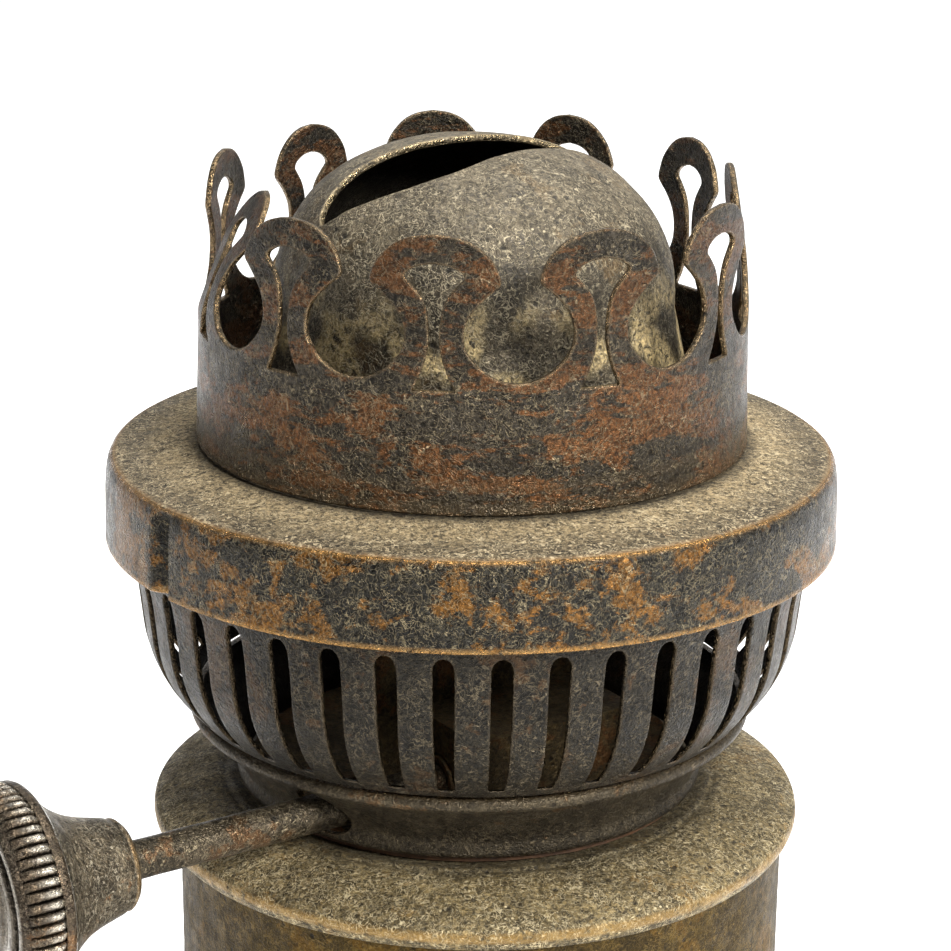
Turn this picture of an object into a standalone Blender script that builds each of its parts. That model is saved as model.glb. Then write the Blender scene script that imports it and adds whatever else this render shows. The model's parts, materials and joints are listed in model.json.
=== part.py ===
"""Flat-wick oil lamp: a brass drum fount, a screw-in burner with its winder and wick, and a lift-off gallery.

Units are metres, +Z is up, and the origin is the centre of the fount's underside.
The burner's axis is parallel to the fount's, a little to -X of it, and the wick lies in a vertical plane
turned WICK_AZIMUTH about that axis.
"""

import math

import bmesh
import bpy
from mathutils import Vector
from mathutils.geometry import delaunay_2d_cdt

MM = 0.001
GAP = 0.3 * MM  # clearance left between two pieces that touch

# The fount
FOUNT_R = 31.6 * MM
FOUNT_WALL = 0.7 * MM
FOUNT_WALL_TOP = 45.2 * MM
LID_X = -0.6 * MM  # the lid is seamed a little off the drum's centre
LID_SEAM_R = 33.6 * MM
LID_HOLE_R = 22.0 * MM
COLLAR_R_IN = 20.7 * MM
COLLAR_R_OUT = 21.6 * MM

# The burner's own axis and the plane of the wick
BURNER_X = -1.35 * MM
WICK_AZIMUTH = math.radians(213.7)
WICK_OFFSET = 2.0 * MM  # the wick tube stands this far towards the winder shaft

# The thread that joins burner and fount
THREAD_R = 20.3 * MM
THREAD_R_IN = 19.0 * MM
THREAD_BOTTOM = 42.5 * MM
THREAD_PITCH = 1.8 * MM
THREAD_TURNS = 3
THREAD_DEPTH = 0.4 * MM

# Burner body
BASE_BOTTOM = 48.95 * MM
FLOOR_THICK = 0.7 * MM
FLOOR_R = 22.6 * MM
SHEET = 0.6 * MM
BASKET_BOTTOM = 57.4 * MM
BASKET_TOP = 82.2 * MM
SLOTS = 40
SLOT_PHASE = math.radians(0.7)
SLOT_BOTTOM = 58.4 * MM
SLOT_TOP = 73.4 * MM
SLOT_WIDTH_TOP = 2.05 * MM
SLOT_WIDTH_BOTTOM = 1.6 * MM
DIFFUSER_Z = 76.0 * MM
DIFFUSER_R = 33.7 * MM

# Gallery
RIM_R = 36.95 * MM
RIM_BOTTOM = 74.9 * MM
RIM_TOP = 83.45 * MM
PLATE_HOLE_R = 21.0 * MM
PLATE_Z = 84.5 * MM
NOTCH_AZIMUTHS = (math.radians(-51.5), math.radians(128.5))
NOTCH_WIDTH = 5.2 * MM
NOTCH_DEPTH = 1.1 * MM
CROWN_R_BOTTOM = 27.65 * MM
CROWN_R_TOP = 27.3 * MM
CROWN_BOTTOM = 84.8 * MM
CROWN_WINDOW_Z = 96.3 * MM
PRONGS = 11
FIRST_PRONG = math.radians(-7.3)
PRONG_HEIGHT = 14.9 * MM
PRONG_RISE_BACK = 2.2 * MM  # the back prongs stand this much taller than the front ones

# Flame dome
DOME_R = 19.9 * MM
DOME_SHOULDER = 98.4 * MM
DOME_TOP = 114.5 * MM
DOME_POWER = 2.35
DOME_FOOT_R = 22.4 * MM
DOME_FOOT_Z = 84.85 * MM
DOME_FLANGE_R = 24.7 * MM
DOME_WALL = 0.7 * MM
SLOT_HALF_LENGTH = 17.0 * MM
SLOT_HALF_MID = 3.65 * MM
SLOT_HALF_END = 1.7 * MM
SLOT_OFFSET = 0.3 * MM  # of its two ends from the burner's axis
SLOT_BOW = 2.35 * MM  # how far its middle bows further out
RIVET_R = 0.6 * MM
RIVET_CIRCLE_R = 23.6 * MM

# Wick and wick tube
WICK_WIDTH = 25.4 * MM
WICK_THICK = 2.4 * MM
WICK_BOTTOM = 18.0 * MM
WICK_TOP = 103.5 * MM
TUBE_WIDTH = 28.6 * MM
TUBE_THICK = 4.6 * MM
TUBE_BOTTOM = 38.0 * MM
TUBE_TOP = 102.0 * MM

# Winder
SHAFT_R = 1.86 * MM
SHAFT_OFFSET = 9.2 * MM
SHAFT_Z = 52.0 * MM
SHAFT_INNER_END = -11.5 * MM
SHAFT_OUTER_END = 60.2 * MM
BORE_R = SHAFT_R + GAP
SPROCKET_R = SHAFT_OFFSET - WICK_OFFSET - WICK_THICK / 2 - GAP
SPROCKET_ROOT_R = 4.4 * MM
SPROCKET_TEETH = 14
SPROCKET_THICK = 1.2 * MM
SPROCKET_PLACES = (-5.5 * MM, 0.0, 5.5 * MM)
HOUSING_HALF = 9.6 * MM
HOUSING_OUT = 15.8 * MM
HOUSING_LOW = 45.4 * MM
HOUSING_HIGH = 58.4 * MM
BUSH_R = 2.7 * MM
BOSS_START = 44.4 * MM
BOSS_END = 53.2 * MM
WHEEL_R = 10.3 * MM
WHEEL_START = BOSS_END + GAP
WHEEL_END = 58.8 * MM
RIDGES = 44

SEGMENTS = 40
SMOOTH_ANGLE = math.radians(35)


# ---------------------------------------------------------------- materials

def material(name, colour, roughness, metallic):
    made = bpy.data.materials.new(name)
    made.use_nodes = True
    shader = made.node_tree.nodes["Principled BSDF"]
    shader.inputs["Base Color"].default_value = (*colour, 1.0)
    shader.inputs["Roughness"].default_value = roughness
    shader.inputs["Metallic"].default_value = metallic
    made.diffuse_color = (*colour, 1.0)
    return made


# ---------------------------------------------------------------- mesh tools

def add_object(name, mesh, finish, parent=None, location=(0, 0, 0)):
    """Makes the node: one object with its own material, shaded smooth except at sharp edges."""
    obj = bpy.data.objects.new(name, mesh)
    bpy.context.scene.collection.objects.link(obj)
    obj.parent = parent
    obj.location = location
    mesh.materials.append(material(name + "_finish", *finish))
    mesh.shade_smooth()
    mesh.set_sharp_from_angle(angle=SMOOTH_ANGLE)
    return obj


def add_empty(name, location, rotation=(0, 0, 0), parent=None):
    obj = bpy.data.objects.new(name, None)
    bpy.context.scene.collection.objects.link(obj)
    obj.parent = parent
    obj.location = location
    obj.rotation_euler = rotation
    obj.empty_display_size = 0.01
    return obj


def finish_mesh(bm, name):
    """Turns every face outwards and stores the mesh."""
    bmesh.ops.recalc_face_normals(bm, faces=bm.faces)
    mesh = bpy.data.meshes.new(name)
    bm.to_mesh(mesh)
    bm.free()
    return mesh


def even_angles(count):
    return [math.tau * i / count for i in range(count)]


def turned_mesh(name, outline, segments=SEGMENTS, radius_at=None, centre_at=None, angles=None):
    """Spins a closed outline of (radius, height) points about Z, in even steps unless the angles are given.

    radius_at(angle, radius, height) can change the radius round the turn, and centre_at(radius) can shift the
    circle of a given radius along X. A point at radius 0 becomes one vertex.
    """
    bm = bmesh.new()
    angles = angles or even_angles(segments)
    segments = len(angles)
    rings = []
    for radius, height in outline:
        shift = centre_at(radius) if centre_at else 0.0
        if radius < 1e-9:
            rings.append([bm.verts.new((shift, 0.0, height))] * segments)
            continue
        ring = []
        for angle in angles:
            r = radius_at(angle, radius, height) if radius_at else radius
            ring.append(bm.verts.new((shift + r * math.cos(angle), r * math.sin(angle), height)))
        rings.append(ring)
    for first, second in zip(rings, rings[1:] + rings[:1]):
        for step in range(segments):
            after = (step + 1) % segments
            corners = [first[step], first[after], second[after], second[step]]
            loop = list(dict.fromkeys(corners))
            if len(loop) > 2:
                bm.faces.new(loop)
    return finish_mesh(bm, name)


def wall(points, thickness):
    """The closed outline of a sheet whose outer face runs down through the points, from top to bottom."""
    inner = []
    for i, point in enumerate(points):
        before = Vector(points[max(i - 1, 0)])
        after = Vector(points[min(i + 1, len(points) - 1)])
        along = (after - before).normalized()
        inner.append((point[0] + along.y * thickness, point[1] - along.x * thickness))
    return list(points) + inner[::-1]


def smooth_line(points, steps):
    """A Catmull-Rom curve through the points, with this many steps to each span."""
    ends = [Vector(points[0]) * 2 - Vector(points[1])] + [Vector(p) for p in points]
    ends.append(Vector(points[-1]) * 2 - Vector(points[-2]))
    line = []
    for a, b, c, d in zip(ends, ends[1:], ends[2:], ends[3:]):
        for step in range(steps):
            t = step / steps
            square = (2 * a - 5 * b + 4 * c - d) * t * t
            cube = (3 * b - a - 3 * c + d) * t ** 3
            line.append(tuple(0.5 * (2 * b + (c - a) * t + square + cube)))
    line.append(tuple(ends[-2]))
    return line


def arc(centre, radius, start, end, steps):
    """Points on a circle from one angle to another, in degrees."""
    angles = [math.radians(start + (end - start) * i / steps) for i in range(steps + 1)]
    return [(centre[0] + radius * math.cos(a), centre[1] + radius * math.sin(a)) for a in angles]


def inside(point, loop):
    """Whether the point lies inside the closed loop."""
    hit = False
    x, y = point
    for (x0, y0), (x1, y1) in zip(loop, loop[1:] + loop[:1]):
        if (y0 > y) != (y1 > y) and x < x0 + (y - y0) * (x1 - x0) / (y1 - y0):
            hit = not hit
    return hit


def fill(outline, holes, loose=()):
    """Triangles of the region inside the outline and outside its holes; loose points refine it."""
    points = []
    edges = []
    for loop in [outline] + list(holes):
        start = len(points)
        points += loop
        edges += [(start + i, start + (i + 1) % len(loop)) for i in range(len(loop))]
    points += loose
    scaled = [Vector(p) / MM for p in points]
    verts, _, faces, *_ = delaunay_2d_cdt(scaled, edges, [], 0, 1e-5)
    kept = []
    for face in faces:
        middle = sum((verts[i] for i in face), Vector((0, 0))) / 3 * MM
        if inside(middle, outline) and not any(inside(middle, hole) for hole in holes):
            kept.append(tuple(face))
    return [tuple(v * MM) for v in verts], kept


def sheet_mesh(name, region, place, copies=1):
    """A sheet with the region's outline, bent by place(copy, point, side), side 1 outside and 0 inside.

    Copies of the region that meet edge to edge become one sheet, and only its boundary gets a thin wall.
    """
    points, triangles = region
    index = {}
    outside = []
    inside_points = []
    faces = []
    for copy in range(copies):
        row = []
        for point in points:
            spot = Vector(place(copy, point, 1))
            key = tuple(round(c / MM, 2) for c in spot)
            if key not in index:
                index[key] = len(outside)
                outside.append(spot)
                inside_points.append(Vector(place(copy, point, 0)))
            row.append(index[key])
        faces += [tuple(row[i] for i in triangle) for triangle in triangles]
    bm = bmesh.new()
    outer = [bm.verts.new(spot) for spot in outside]
    inner = [bm.verts.new(spot) for spot in inside_points]
    edges = set()
    for a, b, c in faces:
        bm.faces.new([outer[a], outer[b], outer[c]])
        bm.faces.new([inner[c], inner[b], inner[a]])
        edges |= {(a, b), (b, c), (c, a)}
    for a, b in edges:
        if (b, a) not in edges:
            bm.faces.new([inner[a], inner[b], outer[b], outer[a]])
    loose = [v for v in bm.verts if not v.link_faces]
    bmesh.ops.delete(bm, geom=loose, context="VERTS")
    return finish_mesh(bm, name)


def flat_mesh(name, region, low, high):
    """An upright solid of a filled region between two heights."""
    return sheet_mesh(name, region, lambda copy, point, side: (point[0], point[1], high if side else low))


def prism_mesh(name, outline, low, high):
    """An upright solid of the outline between two heights."""
    bm = bmesh.new()
    bottom = [bm.verts.new((x, y, low)) for x, y in outline]
    top = [bm.verts.new((x, y, high)) for x, y in outline]
    bm.faces.new(bottom[::-1])
    bm.faces.new(top)
    for i, corner in enumerate(bottom):
        after = (i + 1) % len(bottom)
        bm.faces.new([corner, bottom[after], top[after], top[i]])
    return finish_mesh(bm, name)


def rounded_box(width, depth, radius, steps=4, centre=(0.0, 0.0)):
    """A rectangle with round corners, counter-clockwise."""
    x = width / 2 - radius
    y = depth / 2 - radius
    loop = []
    for i, (sx, sy) in enumerate(((1, 1), (-1, 1), (-1, -1), (1, -1))):
        corner = (centre[0] + sx * x, centre[1] + sy * y)
        loop += arc(corner, radius, 90 * i, 90 * i + 90, steps)
    return loop


def cut(obj, cutter_mesh, parent=None, location=(0, 0, 0), rotation=(0, 0, 0)):
    """Takes the cutter's shape out of the object with a Boolean modifier."""
    cutter = bpy.data.objects.new(obj.name + "_cutter", cutter_mesh)
    bpy.context.scene.collection.objects.link(cutter)
    cutter.parent = parent
    cutter.location = location
    cutter.rotation_euler = rotation
    cutter.hide_render = True
    cutter.display_type = "WIRE"
    modifier = obj.modifiers.new("cut", "BOOLEAN")
    modifier.operation = "DIFFERENCE"
    modifier.solver = "EXACT"
    modifier.object = cutter


def metres(points):
    """The points, given in millimetres, in metres."""
    return [(a * MM, b * MM) for a, b in points]


# ---------------------------------------------------------------- fount

def lid_centre(radius):
    """The lid's neck is concentric with the burner, and its seam with LID_X."""
    inner = 24.5 * MM
    share = min(max((radius - inner) / (LID_SEAM_R - inner), 0.0), 1.0)
    return BURNER_X + (LID_X - BURNER_X) * share


def build_fount():
    brass = ((0.36, 0.29, 0.15), 0.42, 1.0)
    foot_r = FOUNT_R - 1.2 * MM
    foot = metres(arc((foot_r / MM, 1.2), 1.2, 0, -90, 3))
    inner_r = FOUNT_R - FOUNT_WALL
    outline = [(inner_r, FOUNT_WALL_TOP), (FOUNT_R, FOUNT_WALL_TOP)]
    outline += foot
    outline += [(0.0, 0.0), (0.0, FOUNT_WALL), (foot_r, FOUNT_WALL), (inner_r, 1.4 * MM)]
    add_object("fount_body", turned_mesh("fount_body", outline), brass)

    seam = metres([(33.3, 46.05), (33.55, 45.7), (33.6, 45.2), (33.45, 44.4), (33.0, 43.7)])
    crown_of_lid = metres([(23.9, 48.45), (26.0, 48.2), (29.0, 47.55), (33.0, 46.1)])
    outline = [(LID_HOLE_R, 47.9 * MM), (23.7 * MM, 47.9 * MM)] + crown_of_lid + seam
    outline += metres([(32.5, 43.7), (32.5, 45.5), (29.0, 46.8), (24.6, 47.5)])
    outline += [(23.4 * MM, 47.2 * MM), (LID_HOLE_R, 47.2 * MM)]
    add_object("fount_top", turned_mesh("fount_top", outline, 48, centre_at=lid_centre), brass)

    flange_r = 24.0 * MM
    outline = [(COLLAR_R_OUT, 48.5 * MM), (COLLAR_R_OUT, 46.9 * MM)]
    outline += [(flange_r, 46.9 * MM), (flange_r, 46.2 * MM)]
    outline += [(COLLAR_R_OUT, 46.2 * MM), (COLLAR_R_OUT, 41.5 * MM), (COLLAR_R_IN, 41.5 * MM)]
    outline += thread_line(COLLAR_R_IN)
    outline += [(COLLAR_R_IN, 48.5 * MM)]
    mesh = turned_mesh("fount_collar", outline)
    add_object("fount_collar", mesh, brass, location=(BURNER_X, 0, 0))


def thread_line(radius):
    """The thread as a run of ridges THREAD_DEPTH high, from THREAD_BOTTOM up."""
    line = []
    for turn in range(THREAD_TURNS):
        start = THREAD_BOTTOM + turn * THREAD_PITCH
        line.append((radius, start + 0.1 * THREAD_PITCH))
        line.append((radius + THREAD_DEPTH, start + 0.5 * THREAD_PITCH))
    line.append((radius, THREAD_BOTTOM + THREAD_TURNS * THREAD_PITCH))
    return line


# ---------------------------------------------------------------- burner body

def base_line():
    """Outer face of the base collar from its bead down to its foot, in (radius, height)."""
    neck = [(26.6, 54.85), (25.6, 53.5), (24.55, 52.0), (23.95, 50.5), (24.15, 49.3)]
    bead = [(28.55, 57.1), (28.95, 56.6), (28.6, 55.9), (27.6, 55.3)]
    return metres(bead + neck + [(24.1, BASE_BOTTOM / MM)])


def basket_line():
    """Outer face of the air basket from top to bottom, in (radius, height)."""
    high = [(34.65, BASKET_TOP / MM), (34.65, 75.2), (34.4, 73.4), (33.75, 69.0)]
    low = [(33.5, 65.5), (32.0, 61.5), (29.45, 58.4), (28.75, BASKET_BOTTOM / MM)]
    return metres(high + low)


def basket_radius(height):
    """Radius of the basket's outer face at this height."""
    line = basket_line()
    for (r0, z0), (r1, z1) in zip(line, line[1:]):
        if z0 >= height >= z1 - 1e-9:
            share = (z0 - height) / (z0 - z1)
            return r0 + (r1 - r0) * share
    return line[-1][0]


def basket_region():
    """One slot and the half ribs beside it, unrolled: x is an angle and y a height."""
    half = math.pi / SLOTS
    upper_rows = [BASKET_TOP, 75.2 * MM]
    slot_rows = [69.0 * MM, 65.5 * MM, 61.5 * MM]

    def half_angle(height):
        share = (height - SLOT_BOTTOM) / (SLOT_TOP - SLOT_BOTTOM)
        width = SLOT_WIDTH_BOTTOM + (SLOT_WIDTH_TOP - SLOT_WIDTH_BOTTOM) * share
        return width / 2 / basket_radius(height)

    top_r = SLOT_WIDTH_TOP / 2
    hole = []
    for x, z in arc((0, (SLOT_TOP - top_r) / MM), top_r / MM, 0, 180, 3):
        hole.append((x * MM / basket_radius(z * MM), z * MM))
    hole += [(-half_angle(z), z) for z in slot_rows]
    hole += [(-half_angle(SLOT_BOTTOM), SLOT_BOTTOM), (half_angle(SLOT_BOTTOM), SLOT_BOTTOM)]
    hole += [(half_angle(z), z) for z in reversed(slot_rows)]
    side = upper_rows + [SLOT_TOP - top_r] + slot_rows + [SLOT_BOTTOM]
    outline = [(-half, z) for z in side] + [(-half, BASKET_BOTTOM), (half, BASKET_BOTTOM)]
    outline += [(half, z) for z in reversed(side)]
    return fill_angles(outline, hole, [])


def fill_angles(outline, hole, loose):
    """Fills a region whose x is an angle, at the scale of the basket's radius so triangles stay even."""
    scale = FOUNT_R
    grown = [[(a * scale, z) for a, z in loop] for loop in (outline, hole, loose)]
    points, triangles = fill(grown[0], [grown[1]], grown[2])
    return [(a / scale, z) for a, z in points], triangles


def place_basket(copy, point, side):
    angle = point[0] + SLOT_PHASE + math.tau * (copy + 0.5) / SLOTS - math.pi / 2
    radius = basket_radius(point[1]) - (0.0 if side else SHEET)
    return (radius * math.cos(angle), radius * math.sin(angle), point[1])


def floor_hole():
    """Opening in the burner floor for the wick tube and the winder's housing, in the wick's own frame."""
    half = TUBE_WIDTH / 2 + 0.4 * MM
    near = WICK_OFFSET - TUBE_THICK / 2 - 0.4 * MM
    far = WICK_OFFSET + TUBE_THICK / 2 + 0.4 * MM
    side = HOUSING_HALF + 0.5 * MM
    out = HOUSING_OUT + 0.4 * MM
    right = [(half, near), (half, far), (side, far), (side, out)]
    return [(-half, near)] + right + [(-side, out), (-side, far), (-half, far)]


def build_burner(axis, wick_frame):
    dark = ((0.10, 0.09, 0.08), 0.55, 1.0)
    brass = ((0.30, 0.24, 0.14), 0.5, 1.0)
    base = add_object("base_collar", turned_mesh("base_collar", wall(base_line(), 0.8 * MM)), dark, axis)
    hole_r = SHAFT_R + 0.35 * MM
    reach = 30 * MM
    bore = turned_mesh("shaft_hole", [(0, 0), (hole_r, 0), (hole_r, reach), (0, reach)], 20)
    cut(base, bore, wick_frame, (0, SHAFT_OFFSET, SHAFT_Z), (0, math.pi / 2, 0))

    mesh = sheet_mesh("air_basket", basket_region(), place_basket, SLOTS)
    add_object("air_basket", mesh, dark, axis)

    rim = [(FLOOR_R * math.cos(a), FLOOR_R * math.sin(a)) for a in even_angles(SEGMENTS)]
    region = fill(rim, [floor_hole()])
    top = BASE_BOTTOM + FLOOR_THICK
    add_object("burner_floor", flat_mesh("burner_floor", region, BASE_BOTTOM, top), brass, wick_frame)

    root = THREAD_R - THREAD_DEPTH
    ring = [(THREAD_R_IN, BASE_BOTTOM - GAP), (THREAD_R_IN, THREAD_BOTTOM)]
    ring += thread_line(root) + [(root, BASE_BOTTOM - GAP)]
    add_object("threaded_ring", turned_mesh("threaded_ring", ring), brass, axis)
    build_diffuser(axis, dark)


def build_diffuser(axis, finish):
    """A flat ring of sheet with two rows of air holes, which evens the draught under the gallery."""
    count = 12
    half = math.pi / count
    inner = 15.6 * MM
    steps = 3
    angles = [-half + 2 * half * i / steps for i in range(steps + 1)]

    def polar(radius, angle):
        return (radius * math.cos(angle), radius * math.sin(angle))

    outline = [polar(inner, a) for a in reversed(angles)] + [polar(DIFFUSER_R, a) for a in angles]
    holes = []
    for radius, size in ((21.0 * MM, 2.2 * MM), (28.5 * MM, 3.0 * MM)):
        holes.append([(radius + size * math.cos(a), size * math.sin(a)) for a in even_angles(8)])
    region = fill(outline, holes)

    def place(copy, point, side):
        turn = math.tau * copy / count
        x = point[0] * math.cos(turn) - point[1] * math.sin(turn)
        y = point[0] * math.sin(turn) + point[1] * math.cos(turn)
        return (x, y, DIFFUSER_Z + (SHEET if side else 0.0))

    add_object("air_diffuser", sheet_mesh("air_diffuser", region, place, count), finish, axis)


# ---------------------------------------------------------------- wick and its tube

def build_wick(wick_frame):
    brass = ((0.32, 0.26, 0.15), 0.5, 1.0)
    cotton = ((0.62, 0.57, 0.46), 0.95, 0.0)
    centre = (0.0, WICK_OFFSET)
    round_r = TUBE_THICK / 2 - 0.01 * MM
    outer = rounded_box(TUBE_WIDTH, TUBE_THICK, round_r, 5, centre)
    inner = rounded_box(TUBE_WIDTH - 2 * SHEET, TUBE_THICK - 2 * SHEET, round_r - SHEET, 5, centre)
    region = fill(outer, [inner])
    tube = add_object("wick_tube", flat_mesh("wick_tube", region, TUBE_BOTTOM, TUBE_TOP), brass, wick_frame)
    width = SPROCKET_THICK + 2 * GAP
    for place in SPROCKET_PLACES:
        loop = rounded_box(width, TUBE_THICK, 0.2 * MM, 1, (place, WICK_OFFSET + TUBE_THICK / 2 + 0.5 * MM))
        cut(tube, prism_mesh("window", loop, SHAFT_Z - 5.5 * MM, SHAFT_Z + 5.5 * MM), wick_frame)

    loop = rounded_box(WICK_WIDTH, WICK_THICK, 0.8 * MM, 3, centre)
    add_object("wick", prism_mesh("wick", loop, WICK_BOTTOM, WICK_TOP), cotton, wick_frame)


# ---------------------------------------------------------------- winder

def turned_on_shaft(name, outline, finish, winder, segments=32, radius_at=None):
    """A turned piece whose outline is (distance along the shaft, radius)."""
    profile = [(radius, place) for place, radius in outline]
    mesh = turned_mesh(name, profile, segments, radius_at)
    return add_object(name, mesh, finish, winder)


def ring_outline(start, end, inner, outer):
    return [(start, inner), (start, outer), (end, outer), (end, inner)]


def ridge(angle, radius, place):
    """The knurled band of the wheel: its radius rises and falls round the turn."""
    drop = 0.2 * MM * (1 - math.cos(RIDGES * angle))
    return radius - drop if radius > WHEEL_R - 0.01 * MM else radius


def build_sprocket(name, place, finish, winder):
    tooth = math.tau / SPROCKET_TEETH
    outer = []
    for i in range(SPROCKET_TEETH):
        outer.append((SPROCKET_R * math.cos(i * tooth), SPROCKET_R * math.sin(i * tooth)))
        for share in (0.3, 0.7):
            angle = (i + share) * tooth
            outer.append((SPROCKET_ROOT_R * math.cos(angle), SPROCKET_ROOT_R * math.sin(angle)))
    bore = [(BORE_R * math.cos(a), BORE_R * math.sin(a)) for a in even_angles(16)]
    low = place - SPROCKET_THICK / 2
    high = low + SPROCKET_THICK
    add_object(name, flat_mesh(name, fill(outer, [bore]), low, high), finish, winder)


def build_housing(wick_frame, finish):
    """A box round the sprockets, open towards the wick tube, with a hole in each cheek for a bush."""
    near = WICK_OFFSET + TUBE_THICK / 2 + GAP
    depth = HOUSING_OUT - near
    centre = near + depth / 2
    loop = rounded_box(2 * HOUSING_HALF, depth, 0.6 * MM, 2, (0.0, centre))
    box = prism_mesh("winder_housing", loop, HOUSING_LOW, HOUSING_HIGH)
    housing = add_object("winder_housing", box, finish, wick_frame)
    middle = (0.0, centre - SHEET - 1 * MM)
    hollow = rounded_box(2 * HOUSING_HALF - 2 * SHEET, depth + 2 * MM, 0.3 * MM, 1, middle)
    cut(housing, prism_mesh("hollow", hollow, HOUSING_LOW + SHEET, HOUSING_HIGH - SHEET), wick_frame)
    reach = HOUSING_HALF + 2 * MM
    hole_r = BUSH_R + GAP
    bore = turned_mesh("cheek_holes", [(0, -reach), (hole_r, -reach), (hole_r, reach), (0, reach)], 20)
    cut(housing, bore, wick_frame, (0, SHAFT_OFFSET, SHAFT_Z), (0, math.pi / 2, 0))


def build_winder(wick_frame, winder):
    steel = ((0.16, 0.13, 0.11), 0.45, 1.0)
    brass = ((0.30, 0.24, 0.14), 0.45, 1.0)
    dark = ((0.13, 0.11, 0.10), 0.45, 1.0)
    build_housing(wick_frame, brass)
    for name, side in (("bush_inner", -1), ("bush_outer", 1)):
        ends = sorted((side * (HOUSING_HALF - 0.9 * MM), side * (HOUSING_HALF + 0.3 * MM)))
        outline = [(radius, place) for place, radius in ring_outline(*ends, BORE_R, BUSH_R)]
        bush = add_object(name, turned_mesh(name, outline, 24), brass, wick_frame, (0, SHAFT_OFFSET, SHAFT_Z))
        bush.rotation_euler = (0, math.pi / 2, 0)

    tip = 0.5 * MM
    shaft = [(SHAFT_INNER_END, 0.0), (SHAFT_INNER_END, SHAFT_R - tip), (SHAFT_INNER_END + tip, SHAFT_R)]
    shaft += [(HOUSING_HALF + 12 * MM, SHAFT_R), (SHAFT_OUTER_END - tip, SHAFT_R)]
    shaft += [(SHAFT_OUTER_END, SHAFT_R - tip), (SHAFT_OUTER_END, 0.0)]
    turned_on_shaft("winder_shaft", shaft, steel, winder, 24)
    turned_on_shaft("stop_ring", ring_outline(7.3 * MM, 8.3 * MM, BORE_R, 3.6 * MM), brass, winder, 24)
    for i, place in enumerate(SPROCKET_PLACES):
        build_sprocket(f"sprocket_{i + 1}", place, brass, winder)

    lip = BOSS_START + 1.6 * MM
    flare = [(lip / MM, 4.3), (47.6, 4.75), (49.3, 5.5), (50.8, 6.4), (52.1, 7.4), (BOSS_END / MM, 8.7)]
    boss = [(BOSS_START, BORE_R), (BOSS_START, 3.9 * MM), (BOSS_START + 0.5 * MM, 4.5 * MM)]
    boss += [(BOSS_START + 1.2 * MM, 4.5 * MM)] + metres(flare) + [(BOSS_END, BORE_R)]
    turned_on_shaft("knob_boss", boss, dark, winder, 32)

    recess = WHEEL_END - 1.0 * MM
    band_end = WHEEL_END - 0.9 * MM
    wheel = [(WHEEL_START, BORE_R), (WHEEL_START, 9.2 * MM), (WHEEL_START + 0.9 * MM, WHEEL_R - 0.3 * MM)]
    wheel += [(WHEEL_START + 1.2 * MM, WHEEL_R), (band_end, WHEEL_R)]
    wheel += [(band_end + 0.3 * MM, WHEEL_R - 0.6 * MM), (WHEEL_END, 8.9 * MM)]
    wheel += [(WHEEL_END, 7.9 * MM), (recess, 7.8 * MM), (recess, BORE_R)]
    turned_on_shaft("knob_wheel", wheel, dark, winder, 2 * RIDGES, ridge)
    face = ring_outline(recess + GAP, WHEEL_END, BORE_R, 7.4 * MM)
    turned_on_shaft("knob_face", face, dark, winder, 32)
    washer = ring_outline(WHEEL_END + GAP, WHEEL_END + GAP + 0.6 * MM, BORE_R, 3.6 * MM)
    turned_on_shaft("knob_washer", washer, brass, winder, 20)


# ---------------------------------------------------------------- gallery

def notched(angle, radius, height):
    """Presses the half-round channels into the rim, leaving the plate above round."""
    share = min(max((radius - 34.5 * MM) / (1.6 * MM), 0.0), 1.0)
    for azimuth in NOTCH_AZIMUTHS:
        turn = (angle + math.pi / 2 - azimuth + math.pi) % math.tau - math.pi
        across = turn * RIM_R / (NOTCH_WIDTH / 2)
        if abs(across) < 1:
            return radius - NOTCH_DEPTH * share * math.sqrt(1 - across * across)
    return radius


def rim_angles():
    """Even steps round the rim with finer ones across the pressed channels."""
    angles = set(even_angles(48))
    half = NOTCH_WIDTH / 2 / RIM_R
    for azimuth in NOTCH_AZIMUTHS:
        centre = (azimuth - math.pi / 2) % math.tau
        angles = {a for a in angles if abs((a - centre + math.pi) % math.tau - math.pi) > half + 0.02}
        angles |= {(centre + half * share) % math.tau for share in (-1.0, -0.85, -0.5, 0.0, 0.5, 0.85, 1.0)}
    return sorted(angles)


def prong_half():
    """Right half of a prong's edge, from the valley beside it to its top: (sideways, height) in mm."""
    stem = smooth_line([(7.8, 0.75), (4.7, 1.85), (2.65, 4.6), (3.6, 7.4), (6.05, 9.4)], 2)
    head = smooth_line([(6.05, 9.4), (5.35, 11.9), (3.1, 13.75), (0.0, 14.3)], 2)
    return stem, head


def window_half():
    """Right half of the window in a prong's middle, from its top to its foot."""
    top = smooth_line([(0.0, 11.7), (1.5, 11.45), (2.5, 10.7)], 2)
    side = [(2.5, 10.7), (1.15, 8.9), (0.6, 7.2), (0.55, 5.0), (0.9, 2.6), (2.05, 0.0)]
    return top[:-1] + side


def crown_region():
    """One prong and the band below it, unrolled: x along the arc, y the height above the window's foot."""
    half = math.pi * CROWN_R_TOP / PRONGS
    stem, head = prong_half()
    valley = half / MM
    stem = [(valley, stem[0][1])] + stem[1:]
    edge = stem + head[1:]
    low = (CROWN_BOTTOM - CROWN_WINDOW_Z) / MM
    left = [(-x, z) for x, z in reversed(edge[:-1])]
    columns = 4
    bottom = [(-valley + 2 * valley * i / columns, low) for i in range(columns + 1)]
    outline = bottom + [(valley, low * 0.5)] + edge + left + [(-valley, low * 0.5)]
    half_window = window_half()
    window = half_window + [(-x, z) for x, z in reversed(half_window[1:])]
    return fill(metres(outline), [metres(window)], metres([(0.0, low * 0.5)]))


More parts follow.
